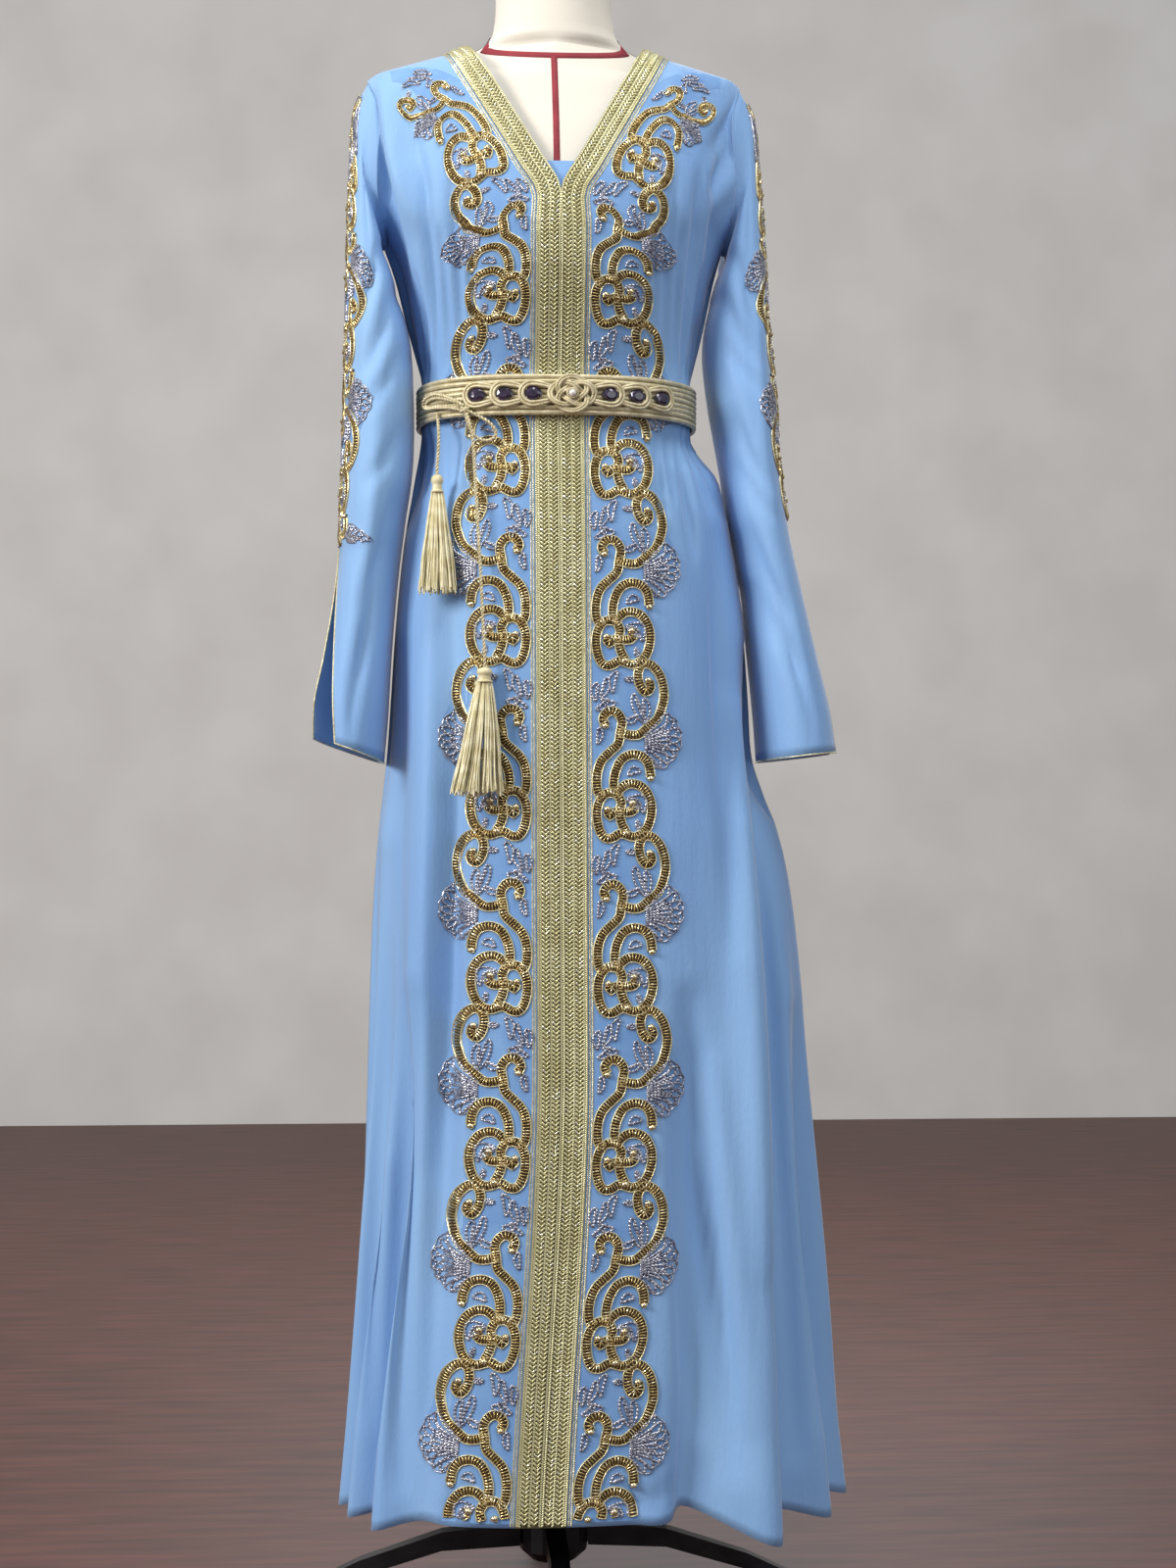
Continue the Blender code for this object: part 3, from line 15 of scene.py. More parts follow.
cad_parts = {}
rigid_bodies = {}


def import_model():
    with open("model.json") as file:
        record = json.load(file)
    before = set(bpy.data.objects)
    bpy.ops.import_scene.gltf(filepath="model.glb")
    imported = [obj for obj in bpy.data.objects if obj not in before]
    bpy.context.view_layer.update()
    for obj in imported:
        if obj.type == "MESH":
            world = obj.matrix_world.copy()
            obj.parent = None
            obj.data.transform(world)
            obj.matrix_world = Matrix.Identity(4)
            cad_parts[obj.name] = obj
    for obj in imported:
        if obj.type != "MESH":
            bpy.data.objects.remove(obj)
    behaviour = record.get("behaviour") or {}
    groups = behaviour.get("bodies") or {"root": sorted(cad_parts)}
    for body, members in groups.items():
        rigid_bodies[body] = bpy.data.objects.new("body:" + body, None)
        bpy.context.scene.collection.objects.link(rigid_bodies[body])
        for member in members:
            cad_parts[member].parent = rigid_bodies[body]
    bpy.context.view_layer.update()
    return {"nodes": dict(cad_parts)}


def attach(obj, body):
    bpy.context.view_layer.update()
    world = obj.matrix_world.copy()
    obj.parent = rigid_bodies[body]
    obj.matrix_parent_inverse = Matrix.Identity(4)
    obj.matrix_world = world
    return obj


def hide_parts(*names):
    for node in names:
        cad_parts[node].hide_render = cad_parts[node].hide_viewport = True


for old_object in list(bpy.data.objects):
    bpy.data.objects.remove(old_object, do_unlink=True)
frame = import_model()

WALL = 0.0016
SHELL = 0.0009
TRIM_WIDTH = 0.0235
HEM_HEIGHT = 0.118
NECKLINE_BOTTOM = 1.364
NECK_POINT_X, NECK_POINT_Z = 0.0865, 1.520
SHOULDER_TIP_X, SHOULDER_TIP_Z = 0.181, 1.4904
BACK_NECK_Z = 1.503
UNDERARM_Z = 1.330
SLEEVE_STRIP_BEHIND = -0.004
BELT_Z = 1.172
POWER = 2.25
REPEAT = 0.162
FRONT_PITCH = 0.1614
SLEEVE_PITCH = 0.140
WHOLE_REPEATS = 9
BRAID_PITCH = 0.0040
BELT_HEIGHT = 0.0385
BELT_CORDS = 8
STONE_SIDES = 14
NET_COLUMNS = 15
FORM_SIDES = 96
SEAM_TOP = UNDERARM_Z + 0.002
NECK_SLOPE = math.atan2(NECK_POINT_X, NECK_POINT_Z - NECKLINE_BOTTOM)
RIDGE_SLOPE = math.atan2(NECK_POINT_Z - SHOULDER_TIP_Z, SHOULDER_TIP_X - NECK_POINT_X)

# Dress form rings: height, half width, front depth, back depth
FORM_RINGS = (
    (0.800, 0.140, 0.082, 0.098), (0.803, 0.1455, 0.087, 0.104), (0.812, 0.148, 0.090, 0.108),
    (0.870, 0.150, 0.096, 0.120), (0.950, 0.146, 0.098, 0.124), (1.040, 0.134, 0.095, 0.110),
    (1.110, 0.121, 0.088, 0.090), (1.172, 0.116, 0.086, 0.083), (1.230, 0.123, 0.098, 0.090),
    (1.290, 0.141, 0.114, 0.099), (1.340, 0.156, 0.116, 0.103), (1.390, 0.167, 0.107, 0.102),
    (1.435, 0.174, 0.093, 0.095), (1.465, 0.177, 0.079, 0.085), (1.484, 0.174, 0.070, 0.076),
    (1.4938, 0.168, 0.065, 0.070), (1.5021, 0.142, 0.061, 0.065), (1.5115, 0.112, 0.056, 0.056),
    (1.5203, 0.084, 0.052, 0.050), (1.528, 0.068, 0.054, 0.056), (1.541, 0.060, 0.053, 0.054),
    (1.565, 0.057, 0.052, 0.052), (1.600, 0.0565, 0.052, 0.052),
)
# Garment sections: height, left half width, right half width, front depth, back depth
GARMENT_SECTIONS = (
    (0.100, 0.200, 0.281, 0.192, 0.202), (0.200, 0.192, 0.270, 0.181, 0.192),
    (0.300, 0.187, 0.264, 0.172, 0.184), (0.500, 0.181, 0.249, 0.156, 0.168),
    (0.665, 0.176, 0.236, 0.143, 0.156), (0.757, 0.170, 0.221, 0.136, 0.150),
    (0.800, 0.165, 0.2045, 0.133, 0.147), (0.840, 0.1610, 0.1930, 0.130, 0.145),
    (0.885, 0.1580, 0.1905, 0.127, 0.143), (0.960, 0.1530, 0.1850, 0.121, 0.140),
    (1.040, 0.1450, 0.1730, 0.114, 0.126), (1.100, 0.1350, 0.1610, 0.106, 0.108),
    (1.150, 0.1275, 0.1325, 0.0985, 0.0960), (1.194, 0.1270, 0.1320, 0.0985, 0.0960),
    (1.230, 0.1355, 0.1400, 0.1060, 0.1010), (1.260, 0.1435, 0.1470, 0.1140, 0.1060),
    (1.300, 0.1535, 0.1555, 0.1230, 0.1100), (1.330, 0.1640, 0.1640, 0.1245, 0.1120),
    (1.347, 0.1725, 0.1725, 0.1230, 0.1115), (1.372, 0.1820, 0.1820, 0.1190, 0.1090),
    (1.405, 0.1890, 0.1890, 0.1095, 0.1055), (1.438, 0.1910, 0.1910, 0.0985, 0.0995),
    (1.464, 0.1900, 0.1900, 0.0885, 0.0920), (1.480, 0.1870, 0.1870, 0.0820, 0.0865),
    (1.4904, 0.1810, 0.1810, 0.0770, 0.0810),
)
SHOULDER_DEPTHS = ((1.4904, 0.0770, 0.0810), (1.5050, 0.0690, 0.0730), (1.5200, 0.0620, 0.0650))
# Armhole rows: height, front depth, back depth, height of the front edge, rise of the centre back
ARMHOLE_ROWS = (
    (1.3300, 0.000, 0.000, 1.330, 0.000), (1.3470, 0.033, 0.030, 1.364, 0.180),
    (1.3720, 0.047, 0.042, 1.395, 0.360), (1.4050, 0.053, 0.047, 1.428, 0.520),
    (1.4380, 0.052, 0.046, 1.460, 0.660), (1.4640, 0.043, 0.040, 1.487, 0.770),
    (1.4800, 0.030, 0.028, 1.505, 0.866), (1.4875, 0.016, 0.015, 1.515, 0.950),
    (1.4904, 0.000, 0.000, 1.520, 1.000),
)
EDGE_COLUMNS = (0.0, TRIM_WIDTH, 0.052, 0.083, 0.118)
# Folds: hem and waist fraction, hem and waist offset, top height, hem lift
LEFT_FOLDS = (
    (0.16, 0.14, 0.020, 0.0, 0.95, 0.004), (0.34, 0.29, -0.014, -0.0025, 0.80, 0.010),
    (0.50, 0.44, 0.010, 0.0, 0.90, 0.002), (0.64, 0.58, -0.011, -0.0030, 0.70, 0.008),
    (0.78, 0.72, 0.008, 0.0, 0.85, 0.000), (0.89, 0.87, -0.008, -0.0025, 0.75, 0.004),
)
RIGHT_FOLDS = (
    (0.07, 0.14, -0.014, -0.0025, 0.55, 0.022), (0.26, 0.30, 0.034, 0.0, 0.80, -0.014),
    (0.46, 0.44, -0.016, -0.0030, 0.95, 0.004), (0.62, 0.58, 0.012, 0.0, 0.75, -0.008),
    (0.76, 0.72, -0.012, -0.0025, 0.80, 0.006), (0.89, 0.87, 0.008, 0.0, 0.70, -0.002),
)
BACK_FOLDS = (
    (0.00, 0.00, 0.014, 0.0, 0.90, -0.004), (0.13, 0.13, -0.012, -0.0030, 0.95, 0.004),
    (0.26, 0.26, 0.016, 0.0, 0.80, -0.006), (0.40, 0.39, -0.014, -0.0030, 0.90, 0.004),
    (0.53, 0.52, 0.014, 0.0, 0.75, -0.004), (0.66, 0.65, -0.012, -0.0030, 0.85, 0.003),
    (0.79, 0.78, 0.010, 0.0, 0.80, -0.002), (0.90, 0.90, -0.008, -0.0025, 0.70, 0.002),
    (1.00, 1.00, 0.000, 0.0000, 0.80, 0.000),
)
BACK_TOP_X = (0.0, 0.030, 0.055, 0.075, NECK_POINT_X, 0.110, 0.134, 0.158, SHOULDER_TIP_X)
BACK_TOP_Z = (BACK_NECK_Z, 1.5045, 1.508, 1.5135)
# Sleeves: outer x, outer z, inner x, inner z, centre y, half depth, front slit angle, back slit angle
RIGHT_SLEEVE = (
    (0.1925, 1.462, 0.1715, 1.326, 0.000, 0.050, 0, 0), (0.1970, 1.425, 0.1652, 1.312, 0.000, 0.056, 0, 0),
    (0.2010, 1.375, 0.1600, 1.296, 0.000, 0.062, 0, 0), (0.2040, 1.320, 0.1546, 1.275, 0.000, 0.067, 0, 0),
    (0.2085, 1.255, 0.1492, 1.238, 0.000, 0.070, 0, 0), (0.2145, 1.185, 0.1545, 1.182, -0.002, 0.072, 0, 0),
    (0.2180, 1.120, 0.1655, 1.120, -0.004, 0.073, 0, 0), (0.2265, 1.055, 0.1747, 1.055, -0.006, 0.074, 0, 0),
    (0.2390, 0.995, 0.186, 0.995, -0.008, 0.077, 8, 6), (0.254, 0.930, 0.1935, 0.930, -0.010, 0.080, 12, 8),
    (0.267, 0.875, 0.199, 0.872, -0.012, 0.083, 14, 10), (0.2725, 0.838, 0.2022, 0.83, -0.012, 0.085, 15, 10),
)
LEFT_SLEEVE = (
    (0.1920, 1.462, 0.1715, 1.326, 0.000, 0.050, 0, 0), (0.1955, 1.425, 0.1645, 1.312, 0.000, 0.056, 0, 0),
    (0.1980, 1.375, 0.1582, 1.296, 0.000, 0.062, 0, 0), (0.1995, 1.320, 0.1516, 1.275, 0.000, 0.067, 0, 0),
    (0.2010, 1.255, 0.1420, 1.238, 0.000, 0.070, 0, 0), (0.2025, 1.185, 0.1385, 1.182, -0.002, 0.072, 0, 0),
    (0.2045, 1.120, 0.1390, 1.120, -0.004, 0.073, 0, 0), (0.2065, 1.055, 0.1474, 1.055, -0.006, 0.074, 0, 0),
    (0.212, 0.995, 0.1547, 0.995, -0.008, 0.077, 30, 2), (0.223, 0.930, 0.160, 0.930, -0.010, 0.080, 54, 2),
    (0.232, 0.885, 0.1635, 0.870, -0.012, 0.083, 68, 2), (0.233, 0.852, 0.1673, 0.828, -0.012, 0.085, 74, 3),
)


def smoothstep(low, high, value):
    """Zero below low, one above high."""
    share = np.clip((value - low) / (high - low), 0.0, 1.0)
    return share * share * (3.0 - 2.0 * share)


def table_value(table, column, height):
    """A smooth curve through one column of a table whose first column is the height."""
    heights = [row[0] for row in table]
    values = [row[column] for row in table]
    slopes = [(values[i + 1] - values[i]) / (heights[i + 1] - heights[i]) for i in range(len(table) - 1)]
    tangents = [slopes[0]]
    for before, after in zip(slopes, slopes[1:]):
        tangents.append(2.0 * before * after / (before + after) if before * after > 0 else 0.0)
    tangents.append(slopes[-1])
    height = min(max(height, heights[0]), heights[-1])
    place = max(i for i in range(len(heights) - 1) if heights[i] <= height)
    span = heights[place + 1] - heights[place]
    t = (height - heights[place]) / span
    rise = (1.0 + 2.0 * t) * (1.0 - t) ** 2 * values[place] + t * t * (3.0 - 2.0 * t) * values[place + 1]
    bend = t * (1.0 - t) ** 2 * tangents[place] - t * t * (1.0 - t) * tangents[place + 1]
    return rise + span * bend


def half_width(height, side):
    """Half width of the garment's section on the left (-1) or the right (1)."""
    if height > SHOULDER_TIP_Z:
        fall = (NECK_POINT_Z - height) / (NECK_POINT_Z - SHOULDER_TIP_Z)
        return NECK_POINT_X + fall * (SHOULDER_TIP_X - NECK_POINT_X)
    return table_value(GARMENT_SECTIONS, 1 if side < 0 else 2, height)


def section_depth(height, face):
    """Depth of the garment's section at the front (-1) or the back (1)."""
    if height > SHOULDER_TIP_Z:
        return table_value(SHOULDER_DEPTHS, 1 if face < 0 else 2, height)
    return table_value(GARMENT_SECTIONS, 3 if face < 0 else 4, height)


def depth_at(x, height, face):
    """Depth of the garment's inner surface at x."""
    share = min(abs(x) / half_width(height, 1 if x >= 0 else -1), 1.0)
    return section_depth(height, face) * (1.0 - share ** POWER) ** (1.0 / POWER)


def front_drift(height):
    """The closed front edge swings to the left near the hem."""
    return -0.026 * (1.0 - float(smoothstep(0.0, 0.56, height)))


def section_point(angle, height, side, face, offset=0.0):
    """A point of the section at an angle from the centre line, in degrees."""
    turn = math.radians(angle)
    x = half_width(height, side) * abs(math.sin(turn)) ** (2.0 / POWER)
    y = section_depth(height, face) * abs(math.cos(turn)) ** (2.0 / POWER)
    length = math.hypot(x, y)
    return side * (x + offset * x / length), face * max(y + offset * y / length, 0.00015)


def fold_offset(fold, height):
    """How far a fold stands out of the plain section."""
    hang = 1.0 - float(smoothstep(HEM_HEIGHT, fold[4], height))
    gather = 1.0 - float(smoothstep(0.02, 0.11, abs(height - BELT_Z)))
    return fold[2] * hang + fold[3] * gather


def hem_height(height, lift):
    """The lowest rows follow the hem's waves."""
    return height + lift * (1.0 - float(smoothstep(HEM_HEIGHT, 0.45, height)))


def armhole_point(row, side, face):
    """A point of the armhole's edge."""
    depth = row[1] if face < 0 else row[2]
    full = section_depth(row[0], face)
    x = half_width(row[0], side) * (1.0 - (depth / full) ** POWER) ** (1.0 / POWER)
    return side * x, face * max(depth, 0.00015), row[0]


def lower_front_row(height, side, folds):
    """One row of a front panel between the hem and the underarm."""
    points = []
    for distance in EDGE_COLUMNS:
        z = hem_height(height, 0.012)
        x = max(distance, 0.00002)
        points.append((side * x + front_drift(z), -depth_at(side * x, max(z, 0.101), -1), z))
    start = math.degrees(math.asin((EDGE_COLUMNS[-1] / half_width(height, side)) ** (POWER / 2)))
    for fold in folds:
        share = fold[0] + (fold[1] - fold[0]) * float(smoothstep(HEM_HEIGHT, 1.1, height))
        z = hem_height(height, fold[5])
        angle = start + share * (90.0 - start)
        x, y = section_point(angle, max(z, 0.101), side, -1, fold_offset(fold, height))
        points.append((x + front_drift(z) * (1.0 - share), y, z))
    x, y = section_point(90.0, height, side, -1)
    return points + [(x, y, height)]


def upper_front_rows(side, start):
    """Rows of a front panel from the underarm to the shoulder seam."""
    trim_edge, side_seam = abs(start[1][0]), abs(start[-1][0])
    low_share = [(abs(point[0]) - trim_edge) / (side_seam - trim_edge) for point in start]
    rows, last, count = [], len(ARMHOLE_ROWS) - 1, len(start)
    for number, row in enumerate(ARMHOLE_ROWS[1:], start=1):
        rise = max(row[3] - NECKLINE_BOTTOM, 0.0) / (NECK_POINT_Z - NECKLINE_BOTTOM)
        edge_x, edge_z = side * max(NECK_POINT_X * rise, 0.00002), row[3]
        lean = {1: NECK_SLOPE / 2, last: RIDGE_SLOPE}.get(number, NECK_SLOPE)
        reach = TRIM_WIDTH / math.cos(NECK_SLOPE / 2) if number == 1 else TRIM_WIDTH
        trim_x, trim_z = edge_x + side * reach * math.cos(lean), edge_z - reach * math.sin(lean)
        arm_x, arm_y, arm_z = armhole_point(row, side, -1)
        share = number / last
        points = []
        for column in range(count):
            if column == count - 1:
                points.append((arm_x, arm_y, arm_z))
                continue
            x, z = edge_x, edge_z
            if column:
                even = (column - 1) / (count - 2)
                across = low_share[column] * (1.0 - share) + even * share
                x, z = trim_x + (arm_x - trim_x) * across, trim_z + (arm_z - trim_z) * across
            depth = 0.0 if number == last else depth_at(x, z, -1)
            points.append((x, -max(depth, 0.00015), z))
        rows.append(points)
    return rows


def back_half_row(height, side):
    """Half a row of the back panel, from the centre back to the side seam."""
    points = []
    for fold in BACK_FOLDS:
        share = fold[0] + (fold[1] - fold[0]) * float(smoothstep(HEM_HEIGHT, 1.1, height))
        z = hem_height(height, fold[5])
        x, y = section_point(90.0 * share, max(z, 0.101), side, 1, fold_offset(fold, height))
        points.append((x, y, z))
    return points


def upper_back_rows(side, start):
    """Half rows of the back panel from the underarm to the neckline."""
    rows, last = [], len(ARMHOLE_ROWS) - 1
    drop = math.tan(RIDGE_SLOPE)
    for number, row in enumerate(ARMHOLE_ROWS[1:], start=1):
        arm_x, arm_y, arm_z = armhole_point(row, side, 1)
        arm_climb = (row[0] - UNDERARM_Z) / (SHOULDER_TIP_Z - UNDERARM_Z)
        points = []
        for column, top_x in enumerate(BACK_TOP_X):
            if column == len(BACK_TOP_X) - 1:
                points.append((arm_x, arm_y, arm_z))
                continue
            on_neck = column < len(BACK_TOP_Z)
            top_z = BACK_TOP_Z[column] if on_neck else NECK_POINT_Z - drop * (top_x - NECK_POINT_X)
            across = column / (len(BACK_TOP_X) - 1)
            rise = row[4] * (1.0 - across) + arm_climb * across
            pull = (number / last) ** 1.5
            inner_arm = abs(arm_x) / abs(start[-1][0])
            x = abs(start[column][0]) * inner_arm * (1.0 - pull) + top_x * pull
            z = UNDERARM_Z + (top_z - UNDERARM_Z) * rise
            depth = 0.0 if number == last and not on_neck else depth_at(side * x, z, 1)
            points.append((side * x, max(depth, 0.00015), z))
        rows.append(points)
    return rows


def sleeve_rows(side, table):
    """Rings of a sleeve from the armhole down to the cuff."""
    half = len(ARMHOLE_ROWS) - 1
    first = []
    for face, numbers in ((-1, range(half, -1, -1)), (1, range(1, half + 1))):
        for number in numbers:
            x, y, z = armhole_point(ARMHOLE_ROWS[number], side, face)
            lift = {0: 0.0022, 1: 0.0022, 2: 0.0019, 3: 0.0006}.get(number, 0.0)
            first.append((x - side * 0.0014, y, z + lift))
    rows = [first]
    for outer_x, outer_z, inner_x, inner_z, centre_y, half_depth, front_slit, back_slit in table:
        ring = []
        for index in range(2 * half + 1):
            turn = math.radians(front_slit + (360.0 - front_slit - back_slit) * index / (2 * half))
            across = math.copysign(abs(math.cos(turn)) ** (2.0 / POWER), math.cos(turn))
            along = math.copysign(abs(math.sin(turn)) ** (2.0 / POWER), math.sin(turn))
            x = (outer_x + inner_x) / 2 + across * (outer_x - inner_x) / 2
            z = (outer_z + inner_z) / 2 + across * (outer_z - inner_z) / 2
            ring.append((side * x, centre_y - half_depth * along, z))
        rows.append(ring)
    return rows


def refine(points, params, wanted):
    """A smooth curve through points along the first axis, at the wanted parameters."""
    points, params, wanted = np.asarray(points, float), np.asarray(params, float), np.asarray(wanted, float)
    gaps = np.diff(params)
    shape = (-1,) + (1,) * (points.ndim - 1)
    slopes = np.diff(points, axis=0) / gaps.reshape(shape)
    tangents = np.empty_like(points)
    tangents[0], tangents[-1] = slopes[0], slopes[-1]
    before, after = gaps[:-1].reshape(shape), gaps[1:].reshape(shape)
    tangents[1:-1] = (slopes[:-1] * after + slopes[1:] * before) / (before + after)
    spot = np.clip(np.searchsorted(params, wanted, side="right") - 1, 0, len(gaps) - 1)
    span = gaps[spot].reshape(shape)
    t = ((wanted - params[spot]) / gaps[spot]).reshape(shape)
    low, high = points[spot], points[spot + 1]
    return ((1 + 2 * t) * (1 - t) ** 2 * low + t * t * (3 - 2 * t) * high
            + span * (t * (1 - t) ** 2 * tangents[spot] - t * t * (1 - t) * tangents[spot + 1]))


def chords(points):
    """Mean distance from row to row, added up."""
    steps = np.linalg.norm(np.diff(points, axis=0), axis=-1)
    return np.concatenate([[0.0], np.cumsum(steps.reshape(len(steps), -1).mean(axis=1))])


def run_along(points):
    """Distance along a line of points to each of them."""
    return np.concatenate([[0.0], np.cumsum(np.linalg.norm(np.diff(points, axis=0), axis=1))])


def at_run(wanted, run, points):
    """Points of a line at the wanted distances along it."""
    return np.stack([np.interp(wanted, run, points[:, axis]) for axis in range(points.shape[1])], 1)


def unit(vectors):
    """Vectors made one long."""
    return vectors / np.maximum(np.linalg.norm(vectors, axis=-1, keepdims=True), 1e-12)


def square_to(heading):
    """Flat directions turned a quarter to the left."""
    return np.stack([-heading[:, 1], heading[:, 0]], 1)


def dense_grid(rows, row_step, per_column):
    """A fine grid through a coarse one; per_column is a count, or one count for each column."""
    grid = np.array(rows, float)
    params = chords(grid)
    count = max(int(round(params[-1] / row_step)), 4)
    grid = refine(grid, params, np.linspace(0.0, params[-1], count + 1))
    across = np.swapaxes(grid, 0, 1)
    params = chords(across)
    counts = [per_column] * (len(params) - 1) if isinstance(per_column, int) else per_column
    wanted = np.concatenate([np.linspace(a, b, count, endpoint=False)
                             for a, b, count in zip(params, params[1:], counts)] + [[params[-1]]])
    return np.swapaxes(refine(across, params, wanted), 0, 1)


def grid_normals(grid):
    """Unit normals of a grid of points."""
    return unit(np.cross(np.gradient(grid, axis=1), np.gradient(grid, axis=0)))


def facing(grid, direction):
    """Normals of a panel, turned so that they face a direction."""
    normal = grid_normals(grid)
    return -normal if normal[10, 40] @ np.array(direction) < 0 else normal


class Batch:
    """Many small pieces gathered into one mesh."""

    def __init__(self):
        self.points, self.faces, self.slots, self.count = [], [], [], 0

    def add(self, points, faces, slot=0):
        points = np.asarray(points, float).reshape(-1, 3)
        faces = np.asarray(faces, int)
        self.points.append(points)
        self.faces.append(faces + self.count)
        self.slots.append(np.full(len(faces), slot))
        self.count += len(points)

    def make(self, name, looks, smooth=True):
        return mesh_object(name, np.concatenate(self.points), np.concatenate(self.faces), looks,
                           np.concatenate(self.slots), smooth)


def mesh_object(name, points, faces, looks, slots=None, smooth=True):
    """An object from points and four-sided faces."""
    mesh = bpy.data.meshes.new(name)
    mesh.vertices.add(len(points))
    mesh.vertices.foreach_set("co", np.asarray(points, np.float32).ravel())
    mesh.loops.add(faces.size)
    mesh.loops.foreach_set("vertex_index", faces.astype(np.int32).ravel())
    mesh.polygons.add(len(faces))
    mesh.polygons.foreach_set("loop_start", np.arange(len(faces), dtype=np.int32) * faces.shape[1])
    for item in looks:
        mesh.materials.append(item)
    if slots is not None:
        mesh.polygons.foreach_set("material_index", slots.astype(np.int32))
    mesh.polygons.foreach_set("use_smooth", np.full(len(faces), smooth))
    mesh.update(calc_edges=True)
    mesh.validate()
    made = bpy.data.objects.new(name, mesh)
    bpy.context.scene.collection.objects.link(made)
    return made


def grid_faces(rows, columns, flip=False, closed=False):
    """Faces of a grid of points, closed across the columns or open."""
    across = columns if closed else columns - 1
    i, j = np.meshgrid(np.arange(rows - 1), np.arange(across), indexing="ij")
    follow = (j + 1) % columns
    corners = [i * columns + j, i * columns + follow, (i + 1) * columns + follow, (i + 1) * columns + j]
    if flip:
        corners = corners[::-1]
    return np.stack(corners, -1).reshape(-1, 4)


class Chart:
    """A patch of surface that flat work is laid on, as positions on an even grid."""

    def __init__(self, points, first, step, outward):
        self.points, self.first, self.step = points, np.array(first), np.array(step)
        normal = unit(np.cross(np.gradient(points, axis=0), np.gradient(points, axis=1)))
        self.mirrored = bool((np.sum(normal * np.array(outward), axis=-1) < 0).mean() > 0.5)
        if self.mirrored:
            normal = -normal
        for _ in range(2):
            padded = np.pad(normal, ((1, 1), (1, 1), (0, 0)), mode="edge")
            normal = unit((padded[:-2, 1:-1] + padded[2:, 1:-1] + padded[1:-1, :-2] + padded[1:-1, 2:]) / 4)
        self.normal = normal

    def at(self, a, b, height):
        """Points at flat places (a, b), a height above the surface."""
        a, b, height = np.broadcast_arrays(np.asarray(a, float), b, height)
        u = np.clip((a - self.first[0]) / self.step[0], 0, self.points.shape[0] - 1.001)
        v = np.clip((b - self.first[1]) / self.step[1], 0, self.points.shape[1] - 1.001)
        i, j = u.astype(int), v.astype(int)
        u, v = (u - i)[..., None], (v - j)[..., None]

        def mix(field):
            return ((field[i, j] * (1 - u) + field[i + 1, j] * u) * (1 - v)
                    + (field[i, j + 1] * (1 - u) + field[i + 1, j + 1] * u) * v)

        return mix(self.points) + mix(self.normal) * height[..., None]


def lay_strands(batch, chart, starts, ends, width, height, base=0.0003, rings=4, sides=4, swell=0.6,
                slot=0, taper=0.0):
    """Short rounded strands laid on a chart, from start places to end places."""
    starts, ends = np.asarray(starts, float), np.asarray(ends, float)
    if not len(starts):
        return
    step = ends - starts
    side = square_to(unit(step))
    t = np.linspace(0.0, 1.0, rings)
    turn = np.linspace(0.0, math.pi, sides)
    middle = starts[:, None, :] + step[:, None, :] * t[None, :, None]
    full = np.sin(math.pi * (0.08 + 0.84 * t)) ** swell
    thin = 1.0 - taper * np.abs(2 * t - 1) ** 2
    across = -np.cos(turn)[None, None, :] * (width / 2) * thin[None, :, None]
    place = middle[:, :, None, :] + side[:, None, None, :] * across[..., None]
    rise = base + height * np.sin(turn)[None, None, :] * full[None, :, None]
    points = chart.at(place[..., 0], place[..., 1], rise)
    one = grid_faces(rings, sides, flip=not chart.mirrored)
    offsets = np.arange(len(starts))[:, None, None] * rings * sides
    batch.add(points, (one[None] + offsets).reshape(-1, 4), slot)


def lay_tube(batch, chart, places, width, height, base=0.0003, sides=4, slot=0):
    """A half round cord laid on a chart along a line of places."""
    side = square_to(unit(np.gradient(places, axis=0)))
    turn = np.linspace(0.0, math.pi, sides)
    place = places[:, None, :] - side[:, None, :] * (np.cos(turn) * width / 2)[None, :, None]
    points = chart.at(place[..., 0], place[..., 1], base + height * np.sin(turn)[None, :])
    batch.add(points, grid_faces(len(places), sides, flip=not chart.mirrored), slot)


def smooth_line(points, spacing, closed=False):
    """Even places along a smooth curve through given points."""
    points = np.asarray(points, float)
    if closed:
        padded = np.concatenate([points[-1:], points, points[:2]])
    else:
        padded = np.concatenate([2 * points[:1] - points[1:2], points, 2 * points[-1:] - points[-2:-1]])
    t = np.linspace(0.0, 1.0, 12, endpoint=False)[:, None]
    parts = []
    for before, here, after, beyond in zip(padded, padded[1:], padded[2:], padded[3:]):
        bend = 2 * before - 5 * here + 4 * after - beyond
        turn = 3 * here - before - 3 * after + beyond
        parts.append(0.5 * (2 * here + (after - before) * t + bend * t ** 2 + turn * t ** 3))
    parts.append(points[:1] if closed else points[-1:])
    dense = np.concatenate(parts)
    run = run_along(dense)
    count = max(int(round(run[-1] / spacing)), 2)
    goals = np.linspace(0.0, run[-1], count + 1)
    return at_run(goals[:-1] if closed else goals, run, dense)


def noise(made, scale, stretch, detail=2.0):
    """The output of a noise texture in the piece's own coordinates."""
    tree = made.node_tree
    where = tree.nodes.new("ShaderNodeTexCoord")
    mapping = tree.nodes.new("ShaderNodeMapping")
    mapping.inputs["Scale"].default_value = stretch
    tree.links.new(where.outputs["Object"], mapping.inputs["Vector"])
    texture = tree.nodes.new("ShaderNodeTexNoise")
    texture.inputs["Scale"].default_value = scale
    texture.inputs["Detail"].default_value = detail
    tree.links.new(mapping.outputs["Vector"], texture.inputs["Vector"])
    return texture.outputs["Fac"]


